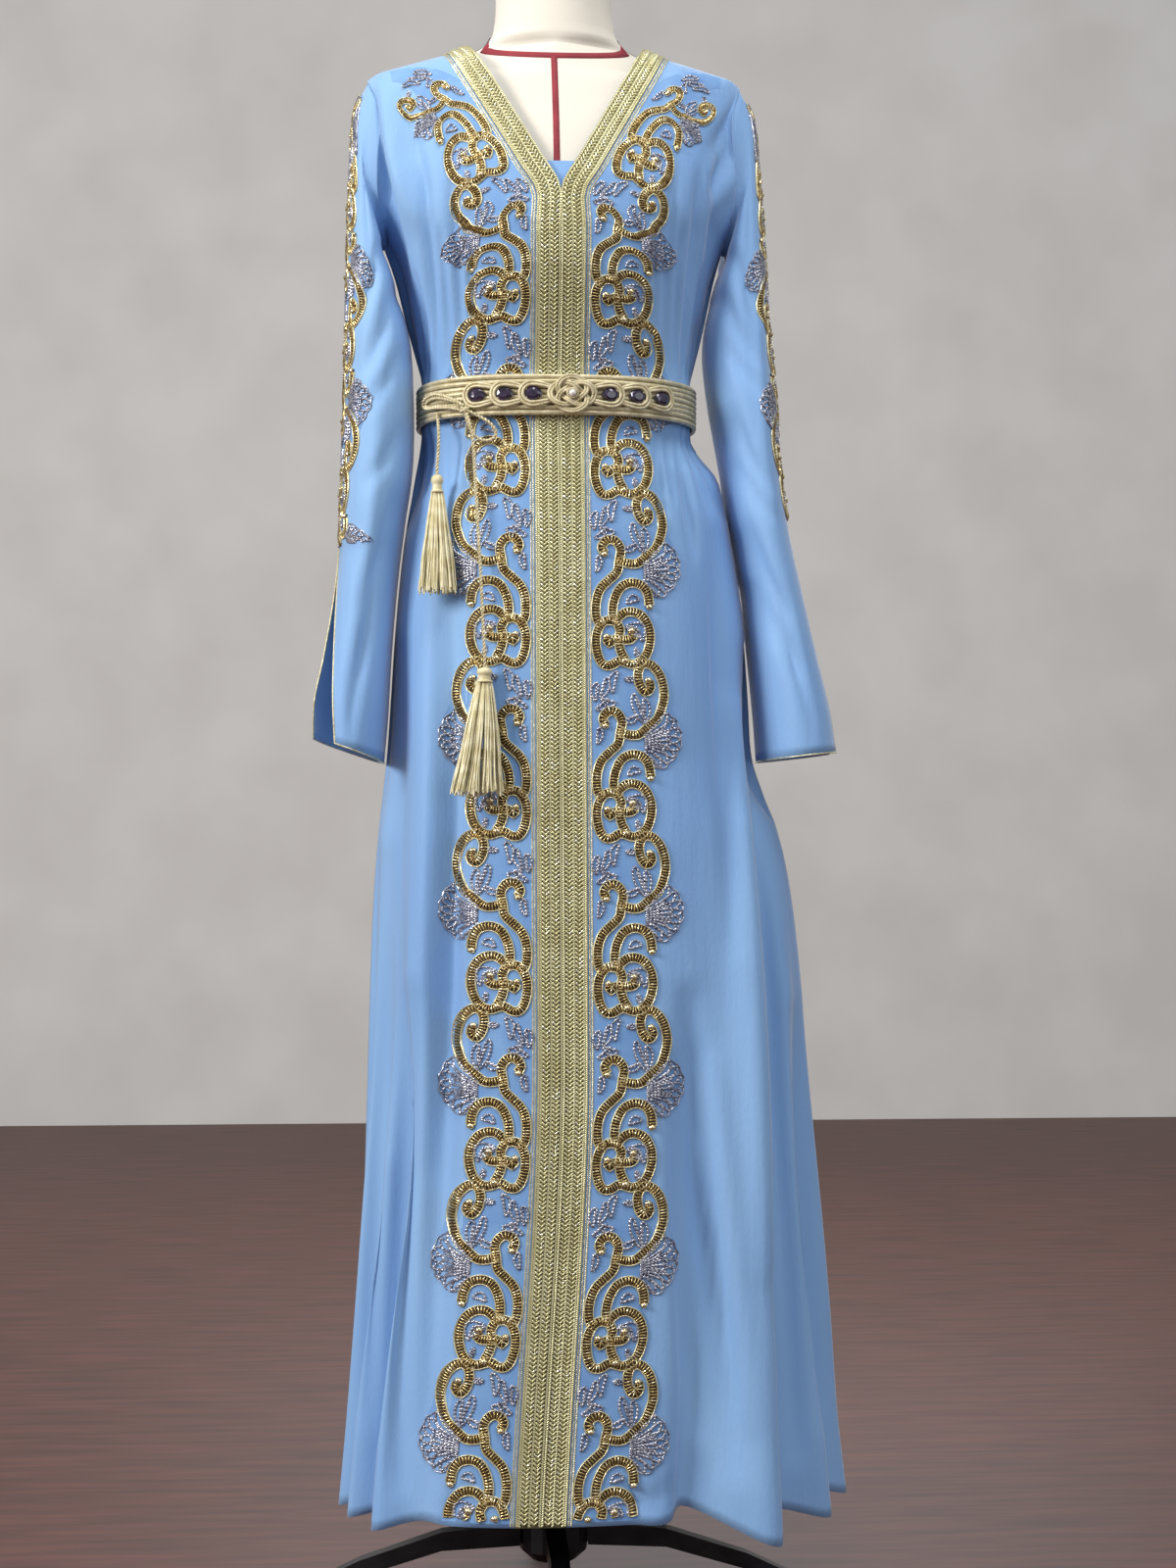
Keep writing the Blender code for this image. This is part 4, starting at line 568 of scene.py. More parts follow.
def roughen(made, scale, stretch, detail, strength, distance):
    """Add relief from a noise texture, on top of the relief that a material has."""
    tree = made.node_tree
    height = noise(made, scale, stretch, detail)
    bump = tree.nodes.new("ShaderNodeBump")
    bump.inputs["Strength"].default_value = strength
    bump.inputs["Distance"].default_value = distance
    surface = tree.nodes["Principled BSDF"].inputs["Normal"]
    if surface.links:
        tree.links.new(surface.links[0].from_socket, bump.inputs["Normal"])
    tree.links.new(height, bump.inputs["Height"])
    tree.links.new(bump.outputs["Normal"], surface)


def dyed(name, low, high, scale, roughness, grain, relief, metallic=0.0, stretch=(1, 1, 1), **constants):
    """A Principled material whose colour drifts between two shades, with a fine grain."""
    made = bpy.data.materials.new(name)
    made.use_nodes = True
    tree = made.node_tree
    shader = tree.nodes["Principled BSDF"]
    shader.inputs["Base Color"].default_value = (*high, 1.0)
    for key, value in {"Roughness": roughness, "Metallic": metallic, **constants}.items():
        shader.inputs[key.replace("_", " ")].default_value = value
    shades = tree.nodes.new("ShaderNodeValToRGB")
    for element, place, colour in zip(shades.color_ramp.elements, (0.32, 0.68), (low, high)):
        element.position = place
        element.color = (*colour, 1.0)
    tree.links.new(noise(made, scale, stretch), shades.inputs["Fac"])
    tree.links.new(shades.outputs["Color"], shader.inputs["Base Color"])
    roughen(made, grain, stretch, 1.0, relief, 0.0006)
    return made


CLOTH = dyed("blue_cloth", (0.188, 0.352, 0.645), (0.255, 0.445, 0.715), 9.0, 0.60, 900.0, 0.16,
             stretch=(1.0, 1.0, 0.22), Sheen_Weight=0.35, Sheen_Roughness=0.40, Specular_IOR_Level=0.26)
roughen(CLOTH, 30.0, (1.0, 1.0, 0.09), 3.0, 0.50, 0.0046)
roughen(CLOTH, 330.0, (1.0, 1.0, 0.45), 2.0, 0.22, 0.0010)
NET = dyed("applique_net", (0.152, 0.305, 0.595), (0.205, 0.378, 0.655), 30.0, 0.6, 1500.0, 0.35,
           Specular_IOR_Level=0.3)
SHEER = dyed("sheer_layer", (0.255, 0.430, 0.690), (0.330, 0.515, 0.750), 9.0, 0.50, 900.0, 0.14,
             stretch=(1.0, 1.0, 0.2), Sheen_Weight=0.35, Sheen_Roughness=0.4)
FORM = dyed("form_cloth", (0.690, 0.640, 0.545), (0.760, 0.715, 0.625), 5.0, 0.85, 1100.0, 0.30)
TAPE = dyed("form_tape", (0.200, 0.012, 0.022), (0.290, 0.022, 0.034), 60.0, 0.7, 900.0, 0.3)
SEAM = dyed("form_seam", (0.090, 0.080, 0.075), (0.150, 0.135, 0.125), 80.0, 0.8, 900.0, 0.2)
BRAID = dyed("gold_braid", (0.560, 0.520, 0.280), (0.680, 0.645, 0.390), 40.0, 0.30, 900.0, 0.1, 0.55)
# Pale copies of the braid's gold, put on some strands as a painted glint.
BRAID_PAINTED_GLINT = dyed("braid_painted_glint", (0.700, 0.680, 0.450), (0.920, 0.900, 0.700), 300.0, 0.12, 900.0, 0.1, 0.85)
# Near-black ground under the braid's strands: painted shade in the gaps between them.
BRAID_GAP_SHADE = dyed("braid_gap_painted_shade", (0.060, 0.050, 0.018), (0.105, 0.090, 0.036), 120.0, 0.6, 900.0, 0.3, 0.2)
LINE = dyed("gold_line", (0.520, 0.450, 0.230), (0.830, 0.770, 0.510), 300.0, 0.30, 1200.0, 0.3, 0.55)
BEADS = dyed("gold_beads", (0.240, 0.155, 0.050), (0.740, 0.580, 0.270), 280.0, 0.22, 1500.0, 0.1, 0.75)
# Near-black strip under the bead rolls: painted shade in the gaps between the beads.
BEAD_GAP_SHADE = dyed("bead_gap_painted_shade", (0.022, 0.013, 0.005), (0.052, 0.032, 0.012), 300.0, 0.60, 900.0, 0.2, 0.2)
# Pale gold: the large beads at the scroll ends, and a painted highlight on some of the roll beads.
PALE_GOLD_AND_HIGHLIGHT = dyed("pale_bead_and_painted_highlight", (0.680, 0.545, 0.270), (0.930, 0.840, 0.560), 300.0, 0.12, 900.0, 0.1, 0.9)
SILVER = dyed("silver_beads", (0.135, 0.145, 0.215), (0.620, 0.630, 0.690), 300.0, 0.16, 1200.0, 0.1, 0.6)
CORD = dyed("belt_cord", (0.500, 0.425, 0.240), (0.690, 0.615, 0.410), 150.0, 0.42, 900.0, 0.35, 0.25)
TASSEL = dyed("tassel_silk", (0.610, 0.530, 0.270), (0.830, 0.770, 0.530), 90.0, 0.42, 900.0, 0.15,
              Sheen_Weight=0.3)
JEWEL = dyed("jewel", (0.008, 0.005, 0.013), (0.048, 0.028, 0.072), 200.0, 0.05, 300.0, 0.05, 0.20,
             Coat_Weight=1.0, Coat_Roughness=0.03)
PEARL = dyed("pearl", (0.690, 0.640, 0.560), (0.860, 0.820, 0.760), 160.0, 0.16, 300.0, 0.05,
             Coat_Weight=0.6, Sheen_Weight=0.2)
IRON = dyed("black_iron", (0.012, 0.012, 0.014), (0.030, 0.030, 0.034), 30.0, 0.38, 260.0, 0.35, 0.6)


def crease_field(points, creases, spread):
    """How far creases push a surface out."""
    shift = np.zeros(points.shape[:-1])
    place = points[..., [0, 2]]
    for width, depth, *line in creases:
        line = np.array(line).reshape(-1, 2) / 1000.0
        run = run_along(line)
        best = np.full(shift.shape, 1e9)
        share = np.zeros(shift.shape)
        for number, (start, end) in enumerate(zip(line, line[1:])):
            step = end - start
            t = np.clip(((place - start) @ step) / (step @ step), 0.0, 1.0)
            away = np.linalg.norm(place - start - t[..., None] * step, axis=-1)
            closer = away < best
            best = np.where(closer, away, best)
            share = np.where(closer, (run[number] + t * (run[number + 1] - run[number])) / run[-1], share)
        swell = np.sin(math.pi * np.clip(share, 0.0, 1.0)) ** 0.7
        shift += depth / 10000.0 * np.exp(-(best / (width / 10000.0 * spread)) ** 2) * swell
    return shift


# Creases: width and depth in tenths of a millimetre, below zero for a trough, then the line's x and
# z in millimetres
LEFT_CREASES = (
    (110, -85, -104, 1020, -101, 800, -112, 500, -126, 190), (120, 50, -119, 1050, -121, 780, -130, 450),
    (110, -90, -138, 620, -147, 400, -152, 150), (90, -50, -150, 950, -158, 700, -163, 450),
    (90, -60, -168, 750, -174, 450, -180, 200), (44, -40, -90, 1345, -86, 1270, -81, 1197),
    (46, -48, -104, 1375, -98, 1285, -92, 1196), (44, -42, -115, 1330, -109, 1262, -103, 1197),
    (50, -50, -132, 1395, -123, 1295, -115, 1197), (44, -36, -141, 1300, -132, 1250, -126, 1198),
    (46, -34, -86, 1149, -87, 1110, -90, 1040), (44, -36, -97, 1149, -100, 1120, -104, 1075),
    (50, -44, -107, 1150, -111, 1105, -117, 1000), (44, -34, -118, 1150, -123, 1122, -129, 1080),
    (46, -34, -127, 1148, -134, 1112, -141, 1050),
    (75, -64, -182, 1478, -172, 1400, -154, 1310, -134, 1225), (85, 44, -168, 1480, -156, 1400, -140, 1325),
    (75, -34, -150, 1470, -138, 1410, -126, 1350), (56, -40, -183, 1420, -172, 1372, -160, 1335),
    (75, -30, -60, 190, -85, 150, -118, 135),
)
RIGHT_CREASES = (
    (130, -110, 190, 950, 202, 700, 214, 420, 224, 160), (140, 70, 168, 900, 182, 620, 192, 340),
    (120, -100, 118, 620, 130, 440, 150, 270, 158, 160), (100, -50, 104, 560, 112, 360, 122, 200),
    (120, 52, 140, 560, 156, 360, 172, 200), (100, -52, 150, 1060, 158, 860, 166, 640),
    (90, -56, 230, 600, 242, 380, 250, 190), (44, -40, 95, 1345, 93, 1270, 90, 1197),
    (48, -48, 107, 1385, 105, 1285, 101, 1197), (44, -42, 119, 1340, 116, 1265, 112, 1197),
    (50, -48, 135, 1395, 130, 1290, 122, 1198), (44, -36, 146, 1310, 140, 1250, 130, 1198),
    (46, -34, 94, 1149, 95, 1110, 98, 1050), (44, -36, 104, 1149, 107, 1118, 113, 1075),
    (50, -44, 114, 1150, 121, 1100, 130, 1020), (48, -36, 124, 1149, 135, 1112, 149, 1065),
    (44, -30, 131, 1148, 147, 1110, 165, 1060), (62, -52, 182, 1452, 166, 1404, 148, 1368),
    (56, -40, 180, 1470, 160, 1432, 140, 1404), (56, 30, 178, 1430, 164, 1385, 150, 1350),
    (70, -46, 160, 1440, 156, 1370, 150, 1300, 138, 1225), (70, -24, 30, 155, 80, 150, 105, 160),
)
BACK_CREASES = (
    (60, -26, -30, 1149, -33, 1080, -40, 940), (55, -22, -10, 1149, -10, 1090, -8, 1010),
    (60, -28, 14, 1149, 18, 1060, 26, 900), (55, -22, 41, 1149, 47, 1090, 55, 1020),
    (60, -26, -56, 1149, -63, 1070, -74, 950), (60, -26, 68, 1149, 78, 1060, 92, 930),
    (55, -22, -22, 1197, -20, 1250, -24, 1320), (50, -18, 6, 1197, 6, 1240, 4, 1290),
    (55, -22, 36, 1197, 40, 1255, 48, 1330), (55, -22, -54, 1197, -60, 1260, -70, 1345),
    (55, -20, 70, 1197, 76, 1250, 84, 1310), (110, -46, -85, 800, -95, 500, -108, 200),
    (110, -44, 40, 840, 48, 520, 60, 220), (100, -44, 128, 780, 146, 480, 168, 200),
    (100, 30, -36, 660, -40, 400, -48, 160), (80, -22, 150, 1400, 110, 1370, 70, 1365),
    (80, -22, -152, 1405, -118, 1372, -74, 1370), (80, 16, -140, 1455, -95, 1440, -50, 1445),
)
# Sleeve creases seen from the front, with x away from the axis
SLEEVE_CREASES = (
    (65, -34, 168, 1325, 178, 1290, 196, 1250), (65, -30, 158, 1285, 172, 1240, 196, 1205),
    (55, -26, 160, 1235, 176, 1205, 200, 1180), (75, -24, 182, 1440, 186, 1360, 184, 1270),
    (65, -32, 166, 1170, 182, 1120, 205, 1085), (55, -24, 170, 1120, 190, 1080, 214, 1055),
    (75, -36, 178, 1060, 196, 1010, 222, 960), (70, -30, 186, 1010, 208, 950, 232, 905),
    (70, 20, 196, 1330, 194, 1230, 198, 1130, 210, 1040), (80, -30, 206, 1000, 226, 920, 246, 850),
)
LEFT_SLEEVE_CREASES = (
    (65, -34, 166, 1330, 176, 1285, 194, 1245), (70, -34, 152, 1290, 166, 1235, 190, 1190),
    (55, -26, 146, 1225, 160, 1190, 184, 1160), (80, -30, 182, 1450, 184, 1370, 178, 1280),
    (60, -26, 146, 1150, 162, 1115, 186, 1085), (80, -34, 152, 1090, 166, 1030, 190, 960),
    (70, -32, 160, 1040, 172, 980, 186, 900), (75, 20, 172, 1180, 174, 1100, 182, 1000),
    (70, -30, 176, 990, 186, 930, 198, 850),
)


def settle_edge(normal, index, kill):
    """Level the normals of one edge so that neighbours meet there."""
    normal[index] = unit(normal[index] * np.array(kill))


def fade(count, first, last):
    """Zero at both edges of a panel's columns and one between; first and last say where each rise runs."""
    column = np.arange(count)
    return (smoothstep(*first, column) * smoothstep(*last, count - 1 - column))[None, :]


def creased(surface, normal, creases, depth, keep, spread=1.0, side=1):
    """A surface pushed out and in by its creases."""
    shift = depth * crease_field(surface * np.array([side, 1.0, 1.0]), creases, spread) * keep
    return surface + normal * shift[..., None]


def cloth_piece(name, surface, normal, slots=None):
    """A thin shell under the cloth's outer surface, its faces turned the way the normals point."""
    rows, columns = surface.shape[:2]
    turned = np.sum(grid_normals(surface) * normal, axis=-1) < 0
    flip = bool(turned.mean() > 0.5)
    made = mesh_object(name, surface.reshape(-1, 3), grid_faces(rows, columns, flip), [CLOTH, SHEER], slots)
    shell = made.modifiers.new("wall", "SOLIDIFY")
    shell.thickness = SHELL
    shell.offset = -1.0
    return made


# Fine columns between the coarse columns of a front
FRONT_COUNTS = (7, 7, 10, 18, 8, 9, 9, 9, 9, 9, 8)


def front_grid(side):
    """The fine grid of a front panel, from hem to shoulder."""
    folds = LEFT_FOLDS if side < 0 else RIGHT_FOLDS
    rows = [lower_front_row(height, side, folds) for height in np.linspace(HEM_HEIGHT, UNDERARM_Z, 66)]
    rows += upper_front_rows(side, rows[-1])
    return dense_grid(rows, 0.0100, FRONT_COUNTS)


def back_grid():
    """The fine grid of the back, from side seam to side seam."""
    heights = np.linspace(HEM_HEIGHT, UNDERARM_Z, 66)
    halves = []
    for side in (1, -1):
        rows = [back_half_row(height, side) for height in heights]
        halves.append(rows + upper_back_rows(side, rows[-1]))
    rows = []
    for right, left in zip(*halves):
        centre = (0.0, (right[0][1] + left[0][1]) / 2, right[0][2])
        rows.append(right[:0:-1] + [centre] + left[1:])
    return dense_grid(rows, 0.0125, 6)


def tree_of(surface):
    """A search tree on a grid surface."""
    return BVHTree.FromPolygons([Vector(point) for point in surface.reshape(-1, 3)],
                                [tuple(int(i) for i in face) for face in grid_faces(*surface.shape[:2])])


def front_chart(surface, side):
    """The chart of the beadwork on a front panel: out from the braid, and up from the hem."""
    tree = tree_of(surface)
    fold = NECKLINE_BOTTOM - HEM_HEIGHT
    bend = fold - 0.13
    outs = np.arange(-0.010, 0.0981, 0.003)
    alongs = np.arange(0.0, 1.4801, 0.004)
    radius = 0.075
    turn_all = math.pi / 2 - NECK_SLOPE + RIDGE_SLOPE
    arc_start = fold + 0.1131
    first = Vector((0.0802, 0.0, 1.4487))
    points = np.zeros((len(outs), len(alongs), 3))
    for j, along in enumerate(alongs):
        narrow = 1.0 - 0.30 * float(smoothstep(1.28, 1.40, along))
        last = None
        for i, out in enumerate(outs):
            reach = TRIM_WIDTH + 0.0055 + out * (narrow if out > 0 else 1.0)
            if along <= arc_start:
                climb = max(along - fold, 0.0)
                edge_x = climb * math.sin(NECK_SLOPE)
                edge_z = HEM_HEIGHT + min(along, fold) + climb * math.cos(NECK_SLOPE)
                lean = NECK_SLOPE * float(smoothstep(bend, bend + 0.21, along))
                x = side * (edge_x + reach * math.cos(lean)) + front_drift(edge_z)
                z = edge_z - reach * math.sin(lean)
            else:
                turned = min((along - arc_start) / radius, turn_all)
                beyond = max(along - arc_start - radius * turn_all, 0.0)
                angle = NECK_SLOPE + turned
                centre_x = first.x + radius * math.cos(NECK_SLOPE)
                centre_z = first.z - radius * math.sin(NECK_SLOPE)
                spoke = radius - (reach - TRIM_WIDTH - 0.0055)
                x = side * (centre_x - spoke * math.cos(angle) + beyond * math.sin(angle))
                z = centre_z + spoke * math.sin(angle) + beyond * math.cos(angle)
            hit = tree.ray_cast(Vector((x, -0.6, z)), Vector((0.0, 1.0, 0.0)))[0]
            if hit is None:
                near = tree.find_nearest(Vector((x, -0.08 if z > 1.3 else -0.15, z)))[0]
                hit = near if near is not None else last
            last = hit
            points[i, j] = hit
    return Chart(points, (outs[0], alongs[0]), (0.003, 0.004), (0.0, -1.0, 0.35))


def sleeve_chart(surface, side):
    """The chart of the beadwork on a sleeve: forward from its outer line, and down from the shoulder."""
    run = run_along(surface[:, 0])
    outs = np.arange(-0.014, 0.1001, 0.003)
    alongs = np.arange(-0.010, 0.5001, 0.004)
    points = np.zeros((len(outs), len(alongs), 3))
    for j, along in enumerate(alongs):
        place = np.interp(0.012 + along, run, np.arange(len(run)))
        spot = min(int(place), len(run) - 2)
        ring = surface[spot] * (1.0 - place + spot) + surface[spot + 1] * (place - spot)
        closed = np.concatenate([ring[-40:-1], ring])
        reach = run_along(closed)
        narrow = 0.55 + 0.45 * float(smoothstep(0.0, 0.16, along))
        points[:, j] = at_run((outs - SLEEVE_STRIP_BEHIND) * narrow, reach - reach[39], closed)
    return Chart(points, (outs[0], alongs[0]), (0.003, 0.004), (side, -0.7, 0.0))


def strip_chart(surface, width):
    """The chart of a front edge: in from the edge, and along it from the hem."""
    columns = range(sum(FRONT_COUNTS[:2]) + 1)
    run = run_along(surface[:, 4])
    steps = np.arange(0.0, run[-1], 0.003)
    even = np.stack([at_run(steps, run, surface[:, j]) for j in columns], 1)
    across = np.arange(0.0, width + 0.0001, 0.0015)
    points = np.stack([at_run(across, run_along(line), line) for line in even], 1)
    chart = Chart(points, (0.0, 0.0), (0.0015, 0.003), (0.0, -1.0, 0.3))
    chart.length = steps[-1]
    return chart


def pairs(row):
    """A flat row in tenths of a millimetre as pairs in metres."""
    return [(a / 10000.0, b / 10000.0) for a, b in zip(row[::2], row[1::2])]


def leaf(row):
    """A leaf's base, tip, width and bend in metres, from a flat row."""
    base, tip, (width, bend) = pairs(row)
    return base, tip, width, bend


# One repeat of the beadwork in tenths of a millimetre: out, and along from the joint of the scrolls
ROLLS = [pairs(row) for row in (
    (250, -10, 330, -40, 430, -40, 520, 30, 610, 110, 660, 230, 680, 340, 660, 470, 610, 570, 530, 630, 460,
     610, 430, 520, 450, 420, 500, 360, 550, 400, 535, 460),
    (310, 640, 380, 620, 460, 650, 520, 730, 550, 850, 540, 960, 490, 1060, 410, 1110, 320, 1110, 250, 1060,
     220, 1010),
    (220, 1020, 150, 1030, 90, 1000, 45, 910, 35, 800, 60, 680, 110, 610, 180, 610, 250, 650, 310, 640),
    (230, 1010, 265, 940, 250, 850, 265, 750, 310, 660),
    (255, 860, 200, 850, 155, 810, 135, 860),
    (265, 850, 340, 850, 385, 870, 375, 920),
    (200, 1030, 195, 1140, 220, 1250, 280, 1350, 380, 1390, 480, 1360, 530, 1280, 545, 1180),
    (260, 1600, 240, 1490, 160, 1410, 90, 1340, 50, 1250, 35, 1140, 45, 1040, 80, 980),
    (260, -20, 275, 90, 220, 170, 145, 175, 95, 110, 120, 50),
)]
BRIGHT_ENDS = pairs((530, 475, 545, 1165, 120, 40, 134, 880, 374, 938, 310, 655))
# Outline of a leaf: share of its length, and share of its half width
LEAF_SHAPE = ((0.0, 0.0), (0.3, 0.8), (0.65, 1.0), (0.92, 0.6), (1.0, 0.0), (0.92, -0.6), (0.65, -1.0),
              (0.3, -0.8))
# Leaves and petals: base, tip, width and bend
LEAVES = [leaf(row) for row in (
    (30, 270, 45, 450, 50, 20), (75, 300, 140, 500, 52, -20), (195, 350, 235, 560, 50, 30),
    (80, 300, 220, 255, 50, -30), (500, 60, 385, 350, 55, 20), (500, 70, 490, 310, 50, -20),
    (430, 150, 300, 85, 45, 20), (300, 480, 395, 480, 36, 0), (40, -130, 60, 30, 42, -20),
    (320, 980, 475, 840, 60, 90), (310, 960, 440, 860, 30, 60), (330, 1190, 450, 1230, 48, 40),
    (410, 780, 430, 690, 30, 0), (150, 300, 30, 190, 40, 20),
)]
PETALS = [leaf(row) for row in (
    (480, -50, 705, 170, 62, -50), (485, -70, 775, 105, 66, -40), (490, -90, 820, 20, 68, -20),
    (490, -110, 835, -75, 68, 0), (490, -130, 825, -165, 66, 20), (490, -150, 780, -245, 64, 40),
    (490, -170, 715, -310, 60, 50), (480, -200, 640, -345, 50, 40),
)]
FAN_EDGE = pairs((690, 190, 740, 145, 795, 110, 815, 45, 850, -10, 840, -75, 850, -135, 810, -190, 790,
    -250, 730, -290, 690, -345, 620, -350, 560, -320))
NET_EDGE = pairs((0, 830, 120, 800, 240, 740, 450, 730, 600, 640, 660, 560, 740, 590, 900, 610, 1040, 580,
    1130, 520, 1200, 580, 1320, 550, 1400, 620, 1500, 820, 1620, 830))


def leaf_outline(base, tip, width, bend):
    """A closed pointed outline between two places, bowed to one side."""
    base, tip = np.array(base), np.array(tip)
    step = tip - base
    side = np.array([-step[1], step[0]]) / max(np.linalg.norm(step), 1e-9)
    points = []
    for share, reach in LEAF_SHAPE:
        points.append(base + step * share + side * (reach * width / 2 + bend * math.sin(math.pi * share)))
    return points


def motif(batch, chart, joint, scale, keep, whole, stretch, seed):
    """One repeat of the beadwork on a chart: slot 0 gold, 1 edge cord, 2 pale gold with painted highlights, 3
    silver, 4 painted shade under the rolls.
    """
    random = np.random.default_rng(900 + seed)

    def put(points):
        points = np.asarray(points, float)
        return np.stack([points[:, 0] * scale, joint + points[:, 1] * stretch], 1)

    def kept(places):
        return (places[:, 1] > keep[0]) & (places[:, 1] < keep[1])

    for line in ROLLS if whole else (ROLLS[0], ROLLS[8]):
        path = smooth_line(put(line), 0.0027)
        heading = unit(np.gradient(path, axis=0))
        side = square_to(heading)
        half = 0.0034 * (0.94 + 0.12 * random.random((len(path), 1)))
        sway = heading * (random.random((len(path), 1)) - 0.5) * 0.0005
        good = kept(path)
        # About a quarter of the beads get the pale gold as a painted highlight.
        painted_lit_beads = random.random(len(path)) < 0.26
        starts, ends = path - side * half + sway, path + side * half - sway
        for chosen, slot in ((good & ~painted_lit_beads, 0), (good & painted_lit_beads, 2)):
            lay_strands(batch, chart, starts[chosen], ends[chosen], 0.00160, 0.0027, base=0.0004, sides=5,
                        slot=slot)
        if good.sum() > 3:
            # The dark strip under the roll is painted shade between its beads.
            lay_tube(batch, chart, path[good], 0.0080, 0.0006, slot=4)
            for sign in (-1.0, 1.0):
                lay_tube(batch, chart, (path + side * sign * 0.0041)[good], 0.0013, 0.0016, slot=1)
    for place in BRIGHT_ENDS if whole else BRIGHT_ENDS[:1] + BRIGHT_ENDS[2:3]:
        spot = put([place])
        if kept(spot)[0]:
            lay_strands(batch, chart, spot - (0.0032, 0.0), spot + (0.0032, 0.0), 0.0062, 0.0042, rings=6,
                        sides=7, swell=0.5, taper=0.5, slot=2)
    tiny = []
    for base, tip, width, bend in LEAVES if whole else LEAVES[:9]:
        vein = np.array(base) + (np.array(tip) - np.array(base)) * np.array([[0.15], [0.5], [0.82]])
        tiny.append(smooth_line(put(vein), 0.0034))
        tiny.append(smooth_line(put(leaf_outline(base, tip, width * 1.25, bend)), 0.0034, closed=True))
    for base, tip, width, bend in PETALS:
        tiny.append(smooth_line(put(leaf_outline(base, tip, width * 1.18, bend)), 0.0034, closed=True))
        low, high = put([base, tip])
        tiny.append(smooth_line([low * 0.7 + high * 0.3, low * 0.25 + high * 0.75], 0.0036))
    starts, ends = [], []
    for path in tiny:
        follow = np.roll(path, -1, 0)
        if np.linalg.norm(path[0] - path[-1]) > 0.0055:
            path, follow = path[:-1], path[1:]
        good = kept(path) & kept(follow)
        starts.append(path[good])
        ends.append((path + (follow - path) * 0.86)[good])
    lay_strands(batch, chart, np.concatenate(starts), np.concatenate(ends), 0.0026, 0.0024, rings=3, sides=4,
                slot=3)
    edge = smooth_line(put(FAN_EDGE), 0.0030)
    edge = edge[kept(edge)]
    if len(edge) > 4:
        lay_tube(batch, chart, edge, 0.0015, 0.0013, slot=3)


def net_piece(name, chart, first, scale, low, high, pitch):
    """The deeper net that the beadwork is worked on, cut close round it."""
    edge = np.array(NET_EDGE)
    alongs = np.arange(low, high, 0.004)
    rows = []
    for along in alongs:
        phase = (along - first) % pitch * (REPEAT / pitch)
        reach = float(np.interp(phase, edge[:, 0], edge[:, 1])) * scale
        reach *= 1.0 - 0.80 * float(smoothstep(high - 0.085, high, along))
        outs = np.linspace(-0.0055 if scale == 1.0 else -0.002, reach, NET_COLUMNS)
        rows.append(chart.at(outs, np.full(NET_COLUMNS, along), np.full(NET_COLUMNS, 0.00022)))
    faces = grid_faces(len(rows), NET_COLUMNS, flip=not chart.mirrored)
    return mesh_object(name, np.array(rows).reshape(-1, 3), faces, [NET])


# Twisted ridges of the braid: distance from the edge, width and pitch
BRAID_RIDGES = ((0.0013, 0.0022, 0.0021), (0.0108, 0.0024, 0.0022), (0.0200, 0.0024, 0.0022),
                (0.0222, 0.0019, 0.0018))


def slanted(rows, start, end):
    """Starts and ends of one strand at each row, each as how far out, and how far along from the row."""
    return [np.stack([np.full(len(rows), out), rows + along], 1) for out, along in (start, end)]


def braid(name, chart, side):
    """The woven gold braid of one edge: a dark ground of painted shade, plaited columns with a painted glint
    on some strands, and twisted ridges and edges.
    """
    random = np.random.default_rng(60 + side)
    batch = Batch()
    length = chart.length
    outs, alongs = np.linspace(0.0002, TRIM_WIDTH, 9), np.arange(0.0, length, 0.004)
    # The dark ground is painted shade between the strands.
    ground = chart.at(*np.meshgrid(outs, alongs, indexing="ij"), 0.0007)
    batch.add(ground, grid_faces(len(outs), len(alongs), flip=chart.mirrored), 1)
    rows = np.arange(0.0030, length - 0.003, BRAID_PITCH)
    for low, high in ((0.0030, 0.0094), (0.0122, 0.0186)):
        middle = (low + high) / 2
        for start, sign in ((low, 1), (high, -1)):
            starts, ends = slanted(rows, (start, 0.0032), (middle + sign * 0.0002, -0.0006))
            keep = starts[:, 1] < length - 0.001
            # About one strand in eight is paler and shinier: a painted glint.
            painted_glint_strands = keep & (random.random(len(rows)) < 0.12)
            for chosen, slot in ((keep & ~painted_glint_strands, 0), (painted_glint_strands, 3)):
                lay_strands(batch, chart, starts[chosen], ends[chosen], 0.0022, 0.0022, base=0.0006, sides=5,
                            swell=0.5, slot=slot)
    for centre, width, pitch in BRAID_RIDGES:
        rows = np.arange(0.002, length - 0.002, pitch)
        half, lead = width * 0.42, pitch * 0.55
        starts, ends = slanted(rows, (centre - half, -lead), (centre + half, lead))
        lay_strands(batch, chart, starts, ends, pitch * 0.95, 0.0013, base=0.0008, rings=3)
    rows = np.arange(0.002, length - 0.002, 0.0016)
    for centre in (0.0252, 0.0276):
        starts, ends = slanted(rows, (centre - 0.0005, -0.0008), (centre + 0.0005, 0.0008))
        lay_strands(batch, chart, starts, ends, 0.0012, 0.0010, base=0.0002, rings=3, sides=3, slot=2)
    return batch.make(name, [BRAID, BRAID_GAP_SHADE, LINE, BRAID_PAINTED_GLINT])


def belt_inner(turn):
    """Inner point of the belt at an angle round the waist."""
    x, y = math.cos(turn), math.sin(turn)
    side, face = (1 if x >= 0 else -1), (-1 if y < 0 else 1)
    clear = WALL + 0.0013 + 0.0047 * float(smoothstep(0.05, 0.75, -y))
    width = half_width(BELT_Z, side) + clear
    depth = section_depth(BELT_Z, face) + clear
    return Vector((width * side * abs(x) ** (2.0 / POWER), depth * face * abs(y) ** (2.0 / POWER), 0.0))


